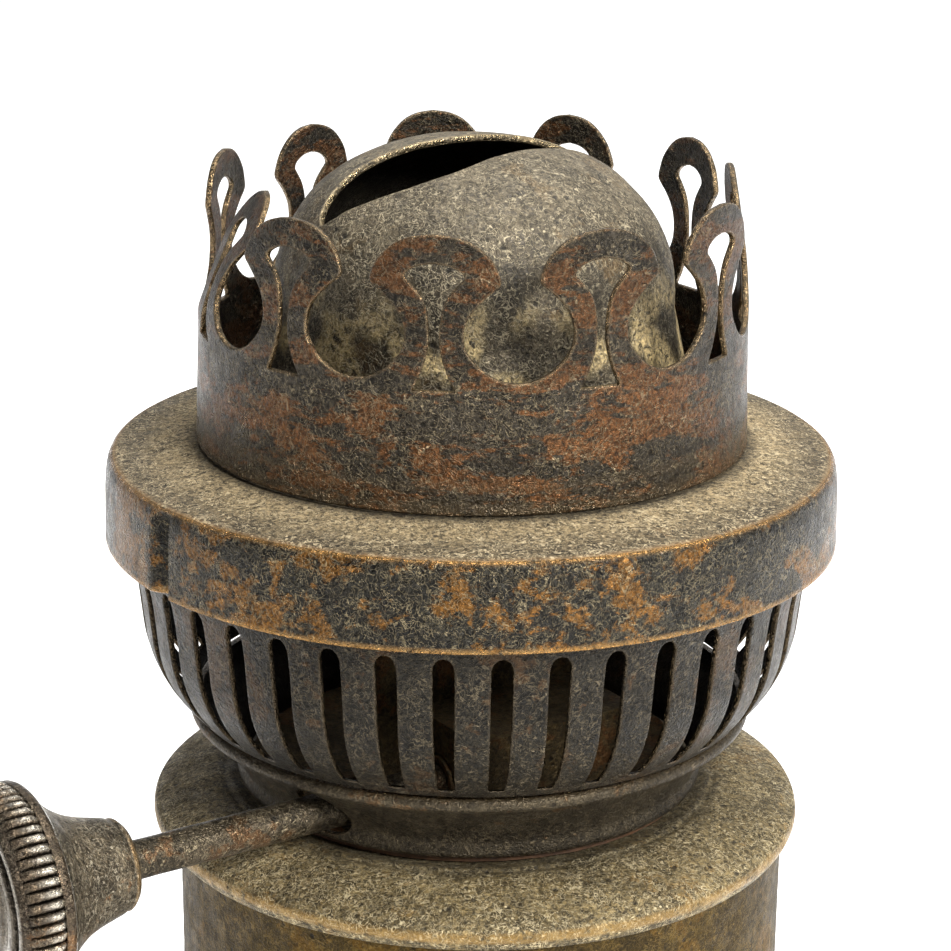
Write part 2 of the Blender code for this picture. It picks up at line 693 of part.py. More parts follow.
def place_crown(copy, point, side):
    """Bends the band round the gallery; the back prongs stand slightly higher than the front ones."""
    middle = FIRST_PRONG + math.tau * copy / PRONGS
    azimuth = middle + point[0] / CROWN_R_TOP
    height = point[1]
    reach = (PRONG_HEIGHT + PRONG_RISE_BACK * (1 - math.cos(middle)) / 2) / PRONG_HEIGHT
    if height > 3 * MM:
        height = 3 * MM + (height - 3 * MM) * reach
    share = (height + CROWN_WINDOW_Z - CROWN_BOTTOM) / (CROWN_WINDOW_Z - CROWN_BOTTOM)
    radius = CROWN_R_BOTTOM + (CROWN_R_TOP - CROWN_R_BOTTOM) * min(share, 1.0) - (0.0 if side else SHEET)
    angle = azimuth - math.pi / 2
    return (radius * math.cos(angle), radius * math.sin(angle), CROWN_WINDOW_Z + height)


def dome_line():
    """Outer face of the dome from apex to foot, in (radius, height)."""
    rise = DOME_TOP - DOME_SHOULDER
    steps = 7
    line = []
    for i in range(steps + 1):
        angle = math.pi / 2 * (1 - i / steps)
        radius = DOME_R * math.cos(angle) ** (2 / DOME_POWER) if i else 0.0
        line.append((radius, DOME_SHOULDER + rise * math.sin(angle) ** (2 / DOME_POWER)))
    line += [(21.5 * MM, 91.0 * MM), (DOME_FOOT_R, 86.6 * MM)]
    flange_top = DOME_FOOT_Z + DOME_WALL
    return line + [(DOME_FOOT_R + 0.4 * MM, flange_top), (DOME_FLANGE_R, flange_top)]


def dome_outline():
    outer = dome_line()
    inner = []
    for i, (radius, height) in enumerate(outer[:-2]):
        before = Vector(outer[max(i - 1, 0)])
        after = Vector(outer[i + 1])
        along = (after - before).normalized() if i else Vector((1.0, 0.0))
        inner.append((max(radius + along.y * DOME_WALL, 0.0), height - along.x * DOME_WALL))
    inner[0] = (0.0, DOME_TOP - DOME_WALL)
    return outer + [(DOME_FLANGE_R, DOME_FOOT_Z), (DOME_FOOT_R - 0.5 * MM, DOME_FOOT_Z)] + inner[::-1]


def slot_loop():
    """The flame slot's outline in the wick's frame: a bowed lens with round ends."""
    steps = 8
    reach = SLOT_HALF_LENGTH - SLOT_HALF_END
    upper = []
    lower = []
    for i in range(steps + 1):
        x = reach * (1 - 2 * i / steps)
        middle = 1 - (x / reach) ** 2
        width = SLOT_HALF_END + (SLOT_HALF_MID - SLOT_HALF_END) * middle
        upper.append((x, SLOT_BOW * middle + width))
        lower.append((-x, SLOT_BOW * middle - width))
    left = metres(arc((-reach / MM, 0), SLOT_HALF_END / MM, 90, 270, 6)[1:-1])
    loop = upper + left + lower + [(-x, -y) for x, y in left]
    return [(x, y + SLOT_OFFSET) for x, y in loop]


def build_gallery(axis, wick_frame):
    dusty = ((0.22, 0.19, 0.14), 0.65, 1.0)
    dark = ((0.11, 0.09, 0.08), 0.5, 1.0)
    soot = ((0.17, 0.15, 0.12), 0.6, 1.0)
    rim = [(RIM_R / MM, RIM_BOTTOM / MM), (36.75, 81.9), (36.5, 82.9), (35.6, RIM_TOP / MM), (28.0, 84.45)]
    hole = [(PLATE_HOLE_R / MM, PLATE_Z / MM), (PLATE_HOLE_R / MM, 83.8)]
    under = [(28.0, 83.75), (35.2, 82.8), (35.95, 82.2), (36.25, RIM_BOTTOM / MM)]
    outline = metres(rim + hole + under)
    mesh = turned_mesh("gallery_plate", outline, radius_at=notched, angles=rim_angles())
    plate = add_object("gallery_plate", mesh, dusty, axis)

    mesh = sheet_mesh("chimney_crown", crown_region(), place_crown, PRONGS)
    add_object("chimney_crown", mesh, dark, axis)
    seat = [(25.1, 84.8), (26.7, 84.8), (26.7, 85.4), (25.1, 85.4)]
    add_object("chimney_seat", turned_mesh("chimney_seat", metres(seat)), dark, axis)

    dome = add_object("flame_dome", turned_mesh("flame_dome", dome_outline()), soot, axis)
    cut(dome, prism_mesh("slot", slot_loop(), DOME_SHOULDER + 4 * MM, DOME_TOP + 5 * MM), wick_frame)
    for i in range(3):
        angle = math.tau * (i + 0.25) / 3
        place = (RIVET_CIRCLE_R * math.cos(angle), RIVET_CIRCLE_R * math.sin(angle), 0)
        hole_r = RIVET_R + GAP
        for sheet in (plate, dome):
            low = PLATE_Z - 2 * MM
            high = low + 5 * MM
            hole = turned_mesh("rivet_hole", [(0, low), (hole_r, low), (hole_r, high), (0, high)], 8)
            cut(sheet, hole, axis, place)
        top = DOME_FOOT_Z + DOME_WALL + GAP
        base = 83.75 * MM - GAP
        outline = [(0, top + 0.6 * MM), (0.7 * MM, top + 0.5 * MM), (1.1 * MM, top), (RIVET_R, top)]
        outline += [(RIVET_R, base), (1.1 * MM, base), (1.1 * MM, base - 0.4 * MM), (0, base - 0.4 * MM)]
        add_object(f"dome_rivet_{i + 1}", turned_mesh("rivet", outline, 8), dusty, axis, place)


# ---------------------------------------------------------------- the lamp

def main():
    for obj in list(bpy.data.objects):
        bpy.data.objects.remove(obj, do_unlink=True)
    axis = add_empty("burner_axis", (BURNER_X, 0, 0))
    wick_frame = add_empty("wick_frame", (0, 0, 0), (0, 0, WICK_AZIMUTH), axis)
    winder = add_empty("winder_axis", (0, SHAFT_OFFSET, SHAFT_Z), (0, math.pi / 2, 0), wick_frame)
    build_fount()
    gasket = [(21.9, 48.2), (23.3, 48.2), (23.3, 48.65), (21.9, 48.65)]
    leather = ((0.12, 0.07, 0.04), 0.9, 0.0)
    add_object("gasket_ring", turned_mesh("gasket_ring", metres(gasket)), leather, axis)
    build_burner(axis, wick_frame)
    build_wick(wick_frame)
    build_winder(wick_frame, winder)
    build_gallery(axis, wick_frame)


main()
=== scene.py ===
import json
import math

import bmesh
import bpy
from mathutils import Matrix, Vector, noise
from mathutils.geometry import delaunay_2d_cdt


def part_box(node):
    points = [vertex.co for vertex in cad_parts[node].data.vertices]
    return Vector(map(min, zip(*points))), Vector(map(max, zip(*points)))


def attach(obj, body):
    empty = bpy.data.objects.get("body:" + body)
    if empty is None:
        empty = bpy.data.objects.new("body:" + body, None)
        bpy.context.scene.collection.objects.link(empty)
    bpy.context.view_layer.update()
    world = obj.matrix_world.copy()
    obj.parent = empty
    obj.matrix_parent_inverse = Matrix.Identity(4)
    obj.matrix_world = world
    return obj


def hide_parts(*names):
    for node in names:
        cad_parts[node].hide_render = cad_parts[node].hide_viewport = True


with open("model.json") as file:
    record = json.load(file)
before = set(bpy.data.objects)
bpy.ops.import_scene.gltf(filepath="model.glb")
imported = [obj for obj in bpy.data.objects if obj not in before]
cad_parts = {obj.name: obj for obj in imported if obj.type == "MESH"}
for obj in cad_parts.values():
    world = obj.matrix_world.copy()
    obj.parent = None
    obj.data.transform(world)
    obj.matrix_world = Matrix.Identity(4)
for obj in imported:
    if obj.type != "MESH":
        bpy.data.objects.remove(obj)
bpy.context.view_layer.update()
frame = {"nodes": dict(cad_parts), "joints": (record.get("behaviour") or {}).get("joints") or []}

MM = 0.001


# ---- places read from the frame

def middle(node):
    low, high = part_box(node)
    return (Vector(low) + Vector(high)) / 2


def lowest(node):
    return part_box(node)[0][2]


def highest(node):
    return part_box(node)[1][2]


def joint(name):
    return next(j for j in frame["joints"] if j["name"] == name)


BURNER = Vector((middle("air_basket").x, middle("air_basket").y, 0.0))
LID = Vector((middle("fount_top").x, middle("fount_top").y, 0.0))
FOUNT = Vector((middle("fount_body").x, middle("fount_body").y, 0.0))
RIM_LOW = lowest("gallery_plate")
PLATE_TOP = highest("gallery_plate")
CROWN_LOW = lowest("chimney_crown")
SEAT_LOW = lowest("chimney_seat")
DOME_LOW = lowest("flame_dome")
DOME_TOP = highest("flame_dome")
COLLAR_LOW = lowest("base_collar")
COLLAR_TOP = highest("base_collar")
LID_TOP = highest("fount_top")
WALL_TOP = highest("fount_body")
SHAFT_AT = Vector(joint("winder_turn")["pos_m"])
SHAFT_DIR = -Vector(joint("winder_turn")["axis"])  # along the shaft, from the burner to the thumb wheel
ACROSS = Vector((SHAFT_AT.x - BURNER.x, SHAFT_AT.y - BURNER.y, 0.0)).normalized()
SHAFT_OFFSET = (SHAFT_AT - BURNER).dot(ACROSS)
SHAFT_R = (highest("winder_shaft") - lowest("winder_shaft")) / 2


# ---- small shape tools

def wobble(point, size, amount, seed=0.0):
    """Smooth noise at a place: size is the width of its swells and amount their height, in metres."""
    return noise.noise(Vector(point) / size + Vector((seed, 3.1 * seed, 7.7))) * amount


def ramp_up(value, start, end):
    share = min(max((value - start) / (end - start), 0.0), 1.0)
    return share * share * (3 - 2 * share)


def curve_through(points, steps):
    """A Catmull-Rom curve through the points, with this many steps to each span."""
    pts = [Vector(p) for p in points]
    pts = [pts[0] * 2 - pts[1]] + pts + [pts[-1] * 2 - pts[-2]]
    line = []
    for a, b, c, d in zip(pts, pts[1:], pts[2:], pts[3:]):
        for step in range(steps):
            t = step / steps
            square = 2 * a - 5 * b + 4 * c - d
            cube = 3 * b - a - 3 * c + d
            line.append(0.5 * (2 * b + (c - a) * t + square * t * t + cube * t ** 3))
    line.append(pts[-2])
    return line


def spaced(points, gap, closed=False):
    """The polyline cut into even steps of about this length. A closed one keeps its first point once."""
    pts = [Vector(p) for p in points]
    if closed:
        pts.append(pts[0])
    lengths = [(b - a).length for a, b in zip(pts, pts[1:])]
    total = sum(lengths)
    count = max(int(round(total / gap)), 3)
    result = []
    index = 0
    passed = 0.0
    for step in range(count if closed else count + 1):
        target = total * step / count
        while index < len(lengths) - 1 and passed + lengths[index] < target:
            passed += lengths[index]
            index += 1
        share = (target - passed) / lengths[index] if lengths[index] else 0.0
        result.append(pts[index].lerp(pts[index + 1], min(max(share, 0.0), 1.0)))
    return result


def arc(centre, radius, start, end, steps):
    """Points on a circle from one angle to another, in degrees."""
    angles = [math.radians(start + (end - start) * i / steps) for i in range(steps + 1)]
    return [Vector((centre[0] + radius * math.cos(a), centre[1] + radius * math.sin(a))) for a in angles]


def lookup(line, height):
    """Radius at a height on a line of (radius, height) points whose heights fall or rise steadily."""
    for a, b in zip(line, line[1:]):
        if min(a[1], b[1]) - 1e-9 <= height <= max(a[1], b[1]) + 1e-9:
            share = (height - a[1]) / (b[1] - a[1]) if b[1] != a[1] else 0.0
            return a[0] + (b[0] - a[0]) * share
    return line[0][0] if abs(height - line[0][1]) < abs(height - line[-1][1]) else line[-1][0]


def in_scene(name, data):
    obj = bpy.data.objects.new(name, data)
    bpy.context.scene.collection.objects.link(obj)
    return obj


def new_piece(name, bm, ages_and_shades, finish, body, replaced=()):
    """Stores the mesh with its age and shade marks, gives it a material and says what it rides on and
    stands for.

    These marks are a colour at each vertex: red is wear, green is dust and blue is grime together with
    painted shade.
    """
    bmesh.ops.recalc_face_normals(bm, faces=bm.faces)
    mesh = bpy.data.meshes.new(name)
    bm.to_mesh(mesh)
    bm.free()
    if ages_and_shades:
        attribute = mesh.color_attributes.new("age_and_shade", "FLOAT_COLOR", "POINT")
        flat = [value for age_and_shade in ages_and_shades for value in (*age_and_shade, 1.0)]
        attribute.data.foreach_set("color", flat)
    mesh.shade_smooth()
    mesh.set_sharp_from_angle(angle=math.radians(50))
    mesh.materials.append(finish)
    obj = in_scene(name, mesh)
    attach(obj, body)
    if replaced:
        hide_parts(*replaced)
    return obj


def turned(name, outline, segments, place, finish, body, replaced, paint=None, reshape=None):
    """Spins a closed outline of (radius, height) points; place(point) puts the result in the lamp."""
    bm = bmesh.new()
    ages_and_shades = []
    rings = []
    for radius, height in outline:
        ring = []
        count = 1 if radius < 1e-7 else segments
        for step in range(count):
            angle = math.tau * step / segments
            r = reshape(angle, radius, height) if reshape else radius
            local = Vector((r * math.cos(angle), r * math.sin(angle), height))
            ring.append(bm.verts.new(place(local)))
            ages_and_shades.append(paint(angle, radius, height) if paint else (0.0, 0.0, 0.0))
        rings.append(ring * (segments if count == 1 else 1))
    for first, second in zip(rings, rings[1:] + rings[:1]):
        for step in range(segments):
            after = (step + 1) % segments
            loop = list(dict.fromkeys([first[step], first[after], second[after], second[step]]))
            if len(loop) > 2:
                bm.faces.new(loop)
    return new_piece(name, bm, ages_and_shades, finish, body, replaced)


def upright(centre):
    return lambda point: point + centre


def on_shaft(point):
    """Lays a piece turned about +Z along the shaft: its height is the distance from the burner's axis."""
    side = Vector((0.0, 0.0, 1.0))
    other = side.cross(SHAFT_DIR)
    return SHAFT_AT + SHAFT_DIR * point.z + side * point.x + other * point.y


def metres(points):
    """Points given in millimetres, as vectors in metres."""
    return [Vector(p) * MM for p in points]


def left_normals(points, period):
    """Unit vectors to the left of a closed loop, or of a chain that repeats after the period."""
    count = len(points)
    result = []
    for i in range(count):
        before = points[i - 1].copy()
        after = points[(i + 1) % count].copy()
        if period:
            before.x += period * round((points[i].x - before.x) / period)
            after.x += period * round((points[i].x - after.x) / period)
        along = (after - before).normalized()
        result.append(Vector((-along.y, along.x)))
    return result


def fill(outline, holes, loose):
    """Triangles of the region inside the outline and outside its holes; loose points refine it."""
    points = []
    edges = []
    for loop in [outline] + holes:
        start = len(points)
        points += loop
        edges += [(start + i, start + (i + 1) % len(loop)) for i in range(len(loop))]
    verts, _, faces, *_ = delaunay_2d_cdt([Vector(p) for p in points + loose], edges, [], 1, 1e-6)
    boxes = []
    for hole in holes:
        xs = [p[0] for p in hole]
        ys = [p[1] for p in hole]
        boxes.append((min(xs), max(xs), min(ys), max(ys)))
    kept = []
    for face in faces:
        spot = sum((verts[i] for i in face), Vector((0, 0))) / len(face)
        for hole, (x0, x1, y0, y1) in zip(holes, boxes):
            if x0 < spot.x < x1 and y0 < spot.y < y1 and inside(spot, hole):
                break
        else:
            kept.append(face)
    return verts, kept


def bent_sheet(name, chains, holes, loose, place, thick, finish, body, replaced,
               period=None, edge=0.1, band=0.26, paint=None, seam=()):
    """A sheet drawn flat in millimetres and bent into place, with worn, rounded edges.

    chains is the one closed outline, counter-clockwise, or with a period the bottom chain, left to right,
    and the top chain, right to left. Holes run clockwise. place(x, y, depth) gives the point in the lamp,
    with depth 0 on the outer face and 1 on the inner one. edge is the radius of a cut edge and band the
    width of the strip of faces beside it.
    """
    bm = bmesh.new()
    ages_and_shades = []
    made = {}

    def vert(point, depth, wear):
        x = point.x % period if period else point.x
        if period and period - x < 1e-4:
            x = 0.0
        key = (round(x, 3), round(point.y, 3), round(depth, 3))
        if key not in made:
            spot = Vector(place(x, point.y, depth))
            made[key] = bm.verts.new(spot)
            age_and_shade = paint(x, point.y, depth, spot) if paint else (0.0, 0.0, 0.0)
            ages_and_shades.append((max(wear, age_and_shade[0]), age_and_shade[1], age_and_shade[2]))
        return made[key]

    inner_edge = 1 - edge / thick
    steps = ((band, 0.0, 0.0), (edge, 0.0, 0.35), (0.0, edge / thick, 1.0))
    steps += ((0.0, inner_edge, 1.0), (edge, 1.0, 0.35), (band, 1.0, 0.0))
    shrunk = []
    for number, chain in enumerate(list(chains) + list(holes)):
        repeat = period if number < len(chains) else None
        normals = left_normals(chain, repeat)
        loops = []
        for inset, depth, wear in steps:
            loops.append([vert(p + n * inset, depth, wear) for p, n in zip(chain, normals)])
        shrunk.append([p + n * band for p, n in zip(chain, normals)])
        count = len(chain)
        for first, second in zip(loops, loops[1:]):
            for i in range(count):
                after = (i + 1) % count
                face = list(dict.fromkeys([first[i], first[after], second[after], second[i]]))
                if len(face) > 2 and bm.faces.get(face) is None:
                    bm.faces.new(face)
    outline = shrunk[0]
    if period:
        bottom, top = shrunk[0], shrunk[1]
        bottom[0].x = 0.0
        top[0].x = period
        right = [Vector((period, v)) for v in seam]
        left = [Vector((0.0, v)) for v in reversed(seam)]
        outline = bottom + [Vector((period, bottom[0].y))] + right + top + [Vector((0.0, top[0].y))] + left
    verts, faces = fill(outline, shrunk[len(chains):], list(loose))
    for depth in (0.0, 1.0):
        row = [vert(v, depth, 0.0) for v in verts]
        for face in faces:
            corners = list(dict.fromkeys(row[i] for i in face))
            if len(corners) > 2 and bm.faces.get(corners) is None:
                bm.faces.new(corners)
    return new_piece(name, bm, ages_and_shades, finish, body, replaced)


def bent_wall(line, span, thick, swell, amount, seed):
    """place() of a sheet wall drawn flat at the radius span; line holds its radius at each height."""
    def place(x, y, depth):
        radius = lookup(line, y) - depth * thick
        azimuth = x / span
        spot = Vector((math.sin(azimuth), -math.cos(azimuth), 0.0))
        bumps = wobble((spot.x, spot.y, y * swell[0]), swell[1], amount, seed)
        return BURNER + (spot * (radius + bumps) + Vector((0, 0, y))) * MM
    return place


def level_chains(period, low, high, count):
    """The bottom and top chains of a wall between two heights."""
    bottom = [Vector((period * i / count, low)) for i in range(count)]
    top = [Vector((period * (1 - i / count), high)) for i in range(count)]
    return bottom, top


# ---- materials

def srgb(red, green, blue):
    """A colour given as it looks on a screen, 0 to 255, made linear."""
    def linear(value):
        value /= 255
        return value / 12.92 if value <= 0.04045 else ((value + 0.055) / 1.055) ** 2.4
    return (linear(red), linear(green), linear(blue), 1.0)


class Nodes:
    """Short calls for building one material's nodes."""

    def __init__(self, name, specular=0.5):
        self.material = bpy.data.materials.new(name)
        self.material.use_nodes = True
        self.tree = self.material.node_tree
        self.shader = self.tree.nodes["Principled BSDF"]
        self.shader.inputs["Specular IOR Level"].default_value = specular
        self.place = self.tree.nodes.new("ShaderNodeTexCoord").outputs["Object"]

    def add(self, kind, **values):
        node = self.tree.nodes.new(kind)
        for key, value in values.items():
            setattr(node, key, value)
        return node

    def put(self, socket, value):
        if hasattr(value, "is_linked"):
            self.tree.links.new(value, socket)
        else:
            socket.default_value = value

    def stretched(self, scale):
        node = self.add("ShaderNodeVectorMath", operation="MULTIPLY")
        self.put(node.inputs[0], self.place)
        node.inputs[1].default_value = scale
        return node.outputs[0]

    def noise(self, size, detail=4.0, rough=0.55, twist=0.0, where=None):
        """Noise whose swells are about this wide, in millimetres."""
        node = self.add("ShaderNodeTexNoise")
        self.put(node.inputs["Vector"], where or self.place)
        node.inputs["Scale"].default_value = 1000 / size
        node.inputs["Detail"].default_value = detail
        node.inputs["Roughness"].default_value = rough
        node.inputs["Distortion"].default_value = twist
        return node.outputs["Fac"]

    def cells(self, size):
        node = self.add("ShaderNodeTexVoronoi", feature="F1")
        self.put(node.inputs["Vector"], self.place)
        node.inputs["Scale"].default_value = 1000 / size
        return node.outputs["Distance"]

    def math(self, operation, a, b=0.0, clamp=False):
        node = self.add("ShaderNodeMath", operation=operation, use_clamp=clamp)
        self.put(node.inputs[0], a)
        self.put(node.inputs[1], b)
        return node.outputs[0]

    def rise(self, value, start, end, low=0.0, high=1.0):
        """Low below start, high above end and a smooth rise between; start may be above end."""
        node = self.add("ShaderNodeMapRange", interpolation_type="SMOOTHSTEP")
        self.put(node.inputs["Value"], value)
        node.inputs["From Min"].default_value = start
        node.inputs["From Max"].default_value = end
        node.inputs["To Min"].default_value = low
        node.inputs["To Max"].default_value = high
        return node.outputs["Result"]

    def blend(self, share, first, second):
        node = self.add("ShaderNodeMix", data_type="RGBA")
        self.put(node.inputs["Factor"], share)
        self.put(node.inputs[6], first)
        self.put(node.inputs[7], second)
        return node.outputs[2]

    def scaled(self, colour, factor):
        node = self.add("ShaderNodeVectorMath", operation="SCALE")
        self.put(node.inputs[0], colour)
        self.put(node.inputs["Scale"], factor)
        return node.outputs[0]

    def lines(self, size, width, twist=0.6):
        """Thin curling strokes: the places where a noise passes its middle value."""
        off = self.math("ABSOLUTE", self.math("SUBTRACT", self.noise(size, 1.5, 0.5, twist), 0.5))
        return self.rise(off, width, 0.0)

    def times(self, a, b, clamp=False):
        return self.math("MULTIPLY", a, b, clamp)

    def finish(self, colour, rough, normal=None):
        """Wires up the shader and hands over the material."""
        self.put(self.shader.inputs["Base Color"], colour)
        self.put(self.shader.inputs["Roughness"], rough)
        if normal:
            self.put(self.shader.inputs["Normal"], normal)
        return self.material

    def age_and_shade(self):
        node = self.add("ShaderNodeVertexColor", layer_name="age_and_shade")
        parts = self.add("ShaderNodeSeparateColor")
        self.put(parts.inputs[0], node.outputs["Color"])
        return parts.outputs[0], parts.outputs[1], parts.outputs[2]

    def upward(self):
        node = self.add("ShaderNodeNewGeometry")
        parts = self.add("ShaderNodeSeparateXYZ")
        self.put(parts.inputs[0], node.outputs["Normal"])
        return parts.outputs[2]

    def bump(self, height, depth, before=None):
        node = self.add("ShaderNodeBump")
        node.inputs["Distance"].default_value = depth * MM
        self.put(node.inputs["Height"], height)
        if before:
            self.put(node.inputs["Normal"], before)
        return node.outputs["Normal"]


def aged_metal(name, tones, patch, crust, worn, dust, cover=0.5, crusted=0.3, dusted=0.5, metallic=0.8,
               rough=(0.42, 0.68), relief=1.0, gritty=0.8, wormy=0.4, streaky=1.0, deposit=None):
    """Old sheet metal: mottled tones, warm patches, pale crusts and curling strokes, worn edges and dust.

    Colours are as seen on a screen, 0 to 255. cover, crusted and dusted say how much of the surface the
    patches, the crusts and the dust take. gritty is the contrast of the finest grain, wormy the strength of
    the curling strokes and streaky how far the patches are drawn out sideways. deposit is the colour of the
    dust that the age marks call for.
    """
    tones = [srgb(*tone) for tone in tones]
    colours = (patch, crust, worn, dust, deposit or dust)
    patch, crust, worn, dust, deposit = (srgb(*colour) for colour in colours)
    n = Nodes(name)
    wear, dusty, grime_and_shade = n.age_and_shade()
    mottled = n.rise(n.noise(5.0, 8, 0.66, 0.3), 0.38, 0.60)
    colour = n.blend(mottled, tones[0], tones[1])
    flecks = n.rise(n.noise(1.1, 5, 0.7), 0.44, 0.58, 0.0, 0.7)
    colour = n.blend(flecks, colour, tones[2])

    drawn = n.stretched((1.0, 1.0, streaky))
    broad = n.noise(9.0, 9, 0.66, 0.5, drawn)
    middling = n.noise(1.6, 6, 0.7, 0.4, drawn)
    field = n.math("ADD", n.times(broad, 0.66), n.times(middling, 0.34))
    patched = n.rise(field, 0.61 - 0.2 * cover, 0.65 - 0.2 * cover)
    colour = n.blend(n.times(patched, 0.85), colour, patch)

    up = n.rise(n.upward(), 0.25, 0.95)
    cloud = n.rise(n.noise(4.0, 6, 0.66), 0.36, 0.62, 0.45, 1.0)
    grain = n.rise(n.noise(0.6, 3, 0.7, 0.5), 0.38, 0.60, 0.35, 1.0)
    film = n.times(n.times(up, dusted), n.times(cloud, grain), clamp=True)
    colour = n.blend(film, colour, dust)
    flakes = n.rise(n.noise(0.9, 5, 0.75, 0.6), 0.38, 0.50)
    colour = n.blend(n.times(dusty, flakes, clamp=True), colour, deposit)

    grit = n.noise(0.42, 3, 0.7, 0.7)
    colour = n.scaled(colour, n.rise(grit, 0.36, 0.66, 1 - 0.55 * gritty, 1 + 0.5 * gritty))

    strokes = n.math("MAXIMUM", n.lines(1.3, 0.028, 1.8), n.lines(0.9, 0.03, 1.4))
    spread = n.rise(n.noise(2.6, 5, 0.65), 0.36, 0.60, 0.35, 1.0)
    strokes = n.times(strokes, spread)
    where = n.rise(n.noise(3.2, 5, 0.6), 0.62 - 0.26 * crusted, 0.74 - 0.26 * crusted)
    specks = n.times(n.rise(n.cells(0.9), 0.20, 0.10), where)
    pale = n.math("MAXIMUM", n.times(strokes, wormy), n.times(specks, 0.75), clamp=True)
    colour = n.blend(pale, colour, crust)
    pits = n.times(n.rise(n.cells(1.7), 0.20, 0.10), n.rise(n.noise(5.0, 3, 0.6), 0.42, 0.55))
    colour = n.blend(n.times(pits, 0.75), colour, srgb(18, 16, 13))

    # The blue marks darken the colour: real grime, and painted shade in hollows, under overhangs, where
    # parts meet and on the dome's shaded side.
    dirt_and_shade = n.times(grime_and_shade, n.rise(n.noise(2.0, 5, 0.6), 0.2, 0.6, 0.6, 1.0))
    colour = n.blend(dirt_and_shade, colour, srgb(20, 17, 12))

    broken = n.rise(n.noise(1.3, 6, 0.75), 0.34, 0.50)
    bare = n.times(wear, broken, clamp=True)
    colour = n.blend(n.times(bare, 0.85), colour, worn)
    metal = n.math("MAXIMUM", n.math("SUBTRACT", metallic, film), bare, clamp=True)
    n.put(n.shader.inputs["Metallic"], metal)

    gloss = n.rise(n.noise(2.2, 6, 0.65), 0.3, 0.7, rough[0], rough[1])
    gloss = n.math("ADD", gloss, n.times(n.math("ADD", film, dusty), 0.25))
    gloss = n.math("SUBTRACT", gloss, n.times(bare, 0.26), clamp=True)

    normal = n.bump(n.noise(2.4, 7, 0.6), 0.12 * relief)
    normal = n.bump(strokes, 0.05 * relief, normal)
    normal = n.bump(n.lines(0.8, 0.12, 1.3), 0.04 * relief, normal)
    normal = n.bump(pits, -0.06 * relief, normal)
    normal = n.bump(grit, 0.08 * relief, normal)
    return n.finish(colour, gloss, normal)


def wick_cotton():
    """Woven cotton, pale below and charred at its top edge."""
    n = Nodes("wick_weave", 0.2)
    weave = n.noise(0.5, 4, 0.7)
    colour = n.blend(n.rise(weave, 0.3, 0.7), srgb(170, 155, 125), srgb(205, 192, 162))
    _, _, charred = n.age_and_shade()
    char = n.times(charred, n.rise(n.noise(1.2, 5, 0.7), 0.2, 0.6, 0.7, 1.0))
    colour = n.blend(char, colour, srgb(20, 17, 14))
    n.shader.inputs["Sheen Weight"].default_value = 0.3
    return n.finish(colour, n.rise(weave, 0.2, 0.8, 0.85, 1.0), n.bump(weave, 0.12))


def oiled_leather():
    """Dark leather with fine pores."""
    n = Nodes("gasket_leather_grain", 0.4)
    pores = n.cells(0.5)
    colour = n.blend(n.rise(n.noise(1.5, 6, 0.65), 0.3, 0.7), srgb(58, 40, 27), srgb(88, 62, 42))
    return n.finish(colour, n.rise(n.noise(0.8, 4, 0.6), 0.3, 0.7, 0.5, 0.8), n.bump(pores, 0.05))


GUNMETAL = aged_metal(
    "crown_patina", ((33, 30, 25), (57, 52, 44), (40, 35, 28)), (92, 59, 31), (154, 140, 112),
    (126, 108, 82), (76, 66, 51), cover=0.6, crusted=0.15, dusted=0.2, rough=(0.24, 0.44), relief=1.4,
    gritty=1.1, wormy=0.55, streaky=2.6)
DUSTY = aged_metal(
    "plate_patina", ((52, 45, 32), (90, 78, 56), (38, 33, 25)), (86, 65, 37), (222, 204, 166),
    (160, 120, 70), (130, 113, 84), cover=0.15, crusted=0.7, dusted=0.35, metallic=0.5, rough=(0.45, 0.7),
    gritty=1.25, wormy=0.8, deposit=(156, 138, 104))
RIM = aged_metal(
    "rim_patina", ((23, 22, 20), (40, 38, 32), (29, 27, 23)), (104, 70, 27), (150, 136, 106),
    (166, 126, 72), (80, 71, 55), cover=0.53, crusted=0.2, dusted=0.2, rough=(0.2, 0.4), relief=1.3,
    gritty=1.1, wormy=0.55, streaky=1.3)
SOOT = aged_metal(
    "dome_patina", ((46, 41, 32), (84, 75, 59), (54, 48, 37)), (84, 67, 42), (206, 192, 160),
    (150, 134, 104), (126, 114, 91), cover=0.3, crusted=0.3, dusted=0.5, metallic=0.55, rough=(0.36, 0.6),
    gritty=1.0, wormy=0.6, deposit=(194, 173, 126))
BASKET = aged_metal(
    "basket_patina", ((22, 20, 17), (35, 32, 26), (26, 24, 19)), (58, 41, 24), (122, 110, 88), (76, 65, 49),
    (50, 45, 36), cover=0.35, crusted=0.15, dusted=0.15, rough=(0.26, 0.46), relief=1.4, gritty=1.1,
    wormy=0.55)
COLLAR = aged_metal(
    "collar_patina", ((42, 37, 29), (66, 59, 46), (50, 44, 34)), (84, 61, 37), (132, 118, 92), (98, 83, 60),
    (74, 66, 51), cover=0.3, crusted=0.1, dusted=0.2, rough=(0.36, 0.56), wormy=0.4)
LID_BRASS = aged_metal(
    "lid_patina", ((76, 65, 41), (124, 108, 73), (48, 41, 27)), (112, 87, 45), (224, 208, 168),
    (150, 118, 62), (150, 132, 92), cover=0.3, crusted=0.55, dusted=0.4, metallic=0.6, gritty=1.2,
    wormy=0.75)
WALL_BRASS = aged_metal(
    "wall_patina", ((50, 38, 11), (73, 57, 18), (37, 29, 9)), (84, 61, 16), (150, 124, 70), (158, 130, 68),
    (74, 59, 26), cover=0.4, crusted=0.25, dusted=0.1, rough=(0.5, 0.68), relief=0.6, gritty=0.6,
    wormy=0.35)
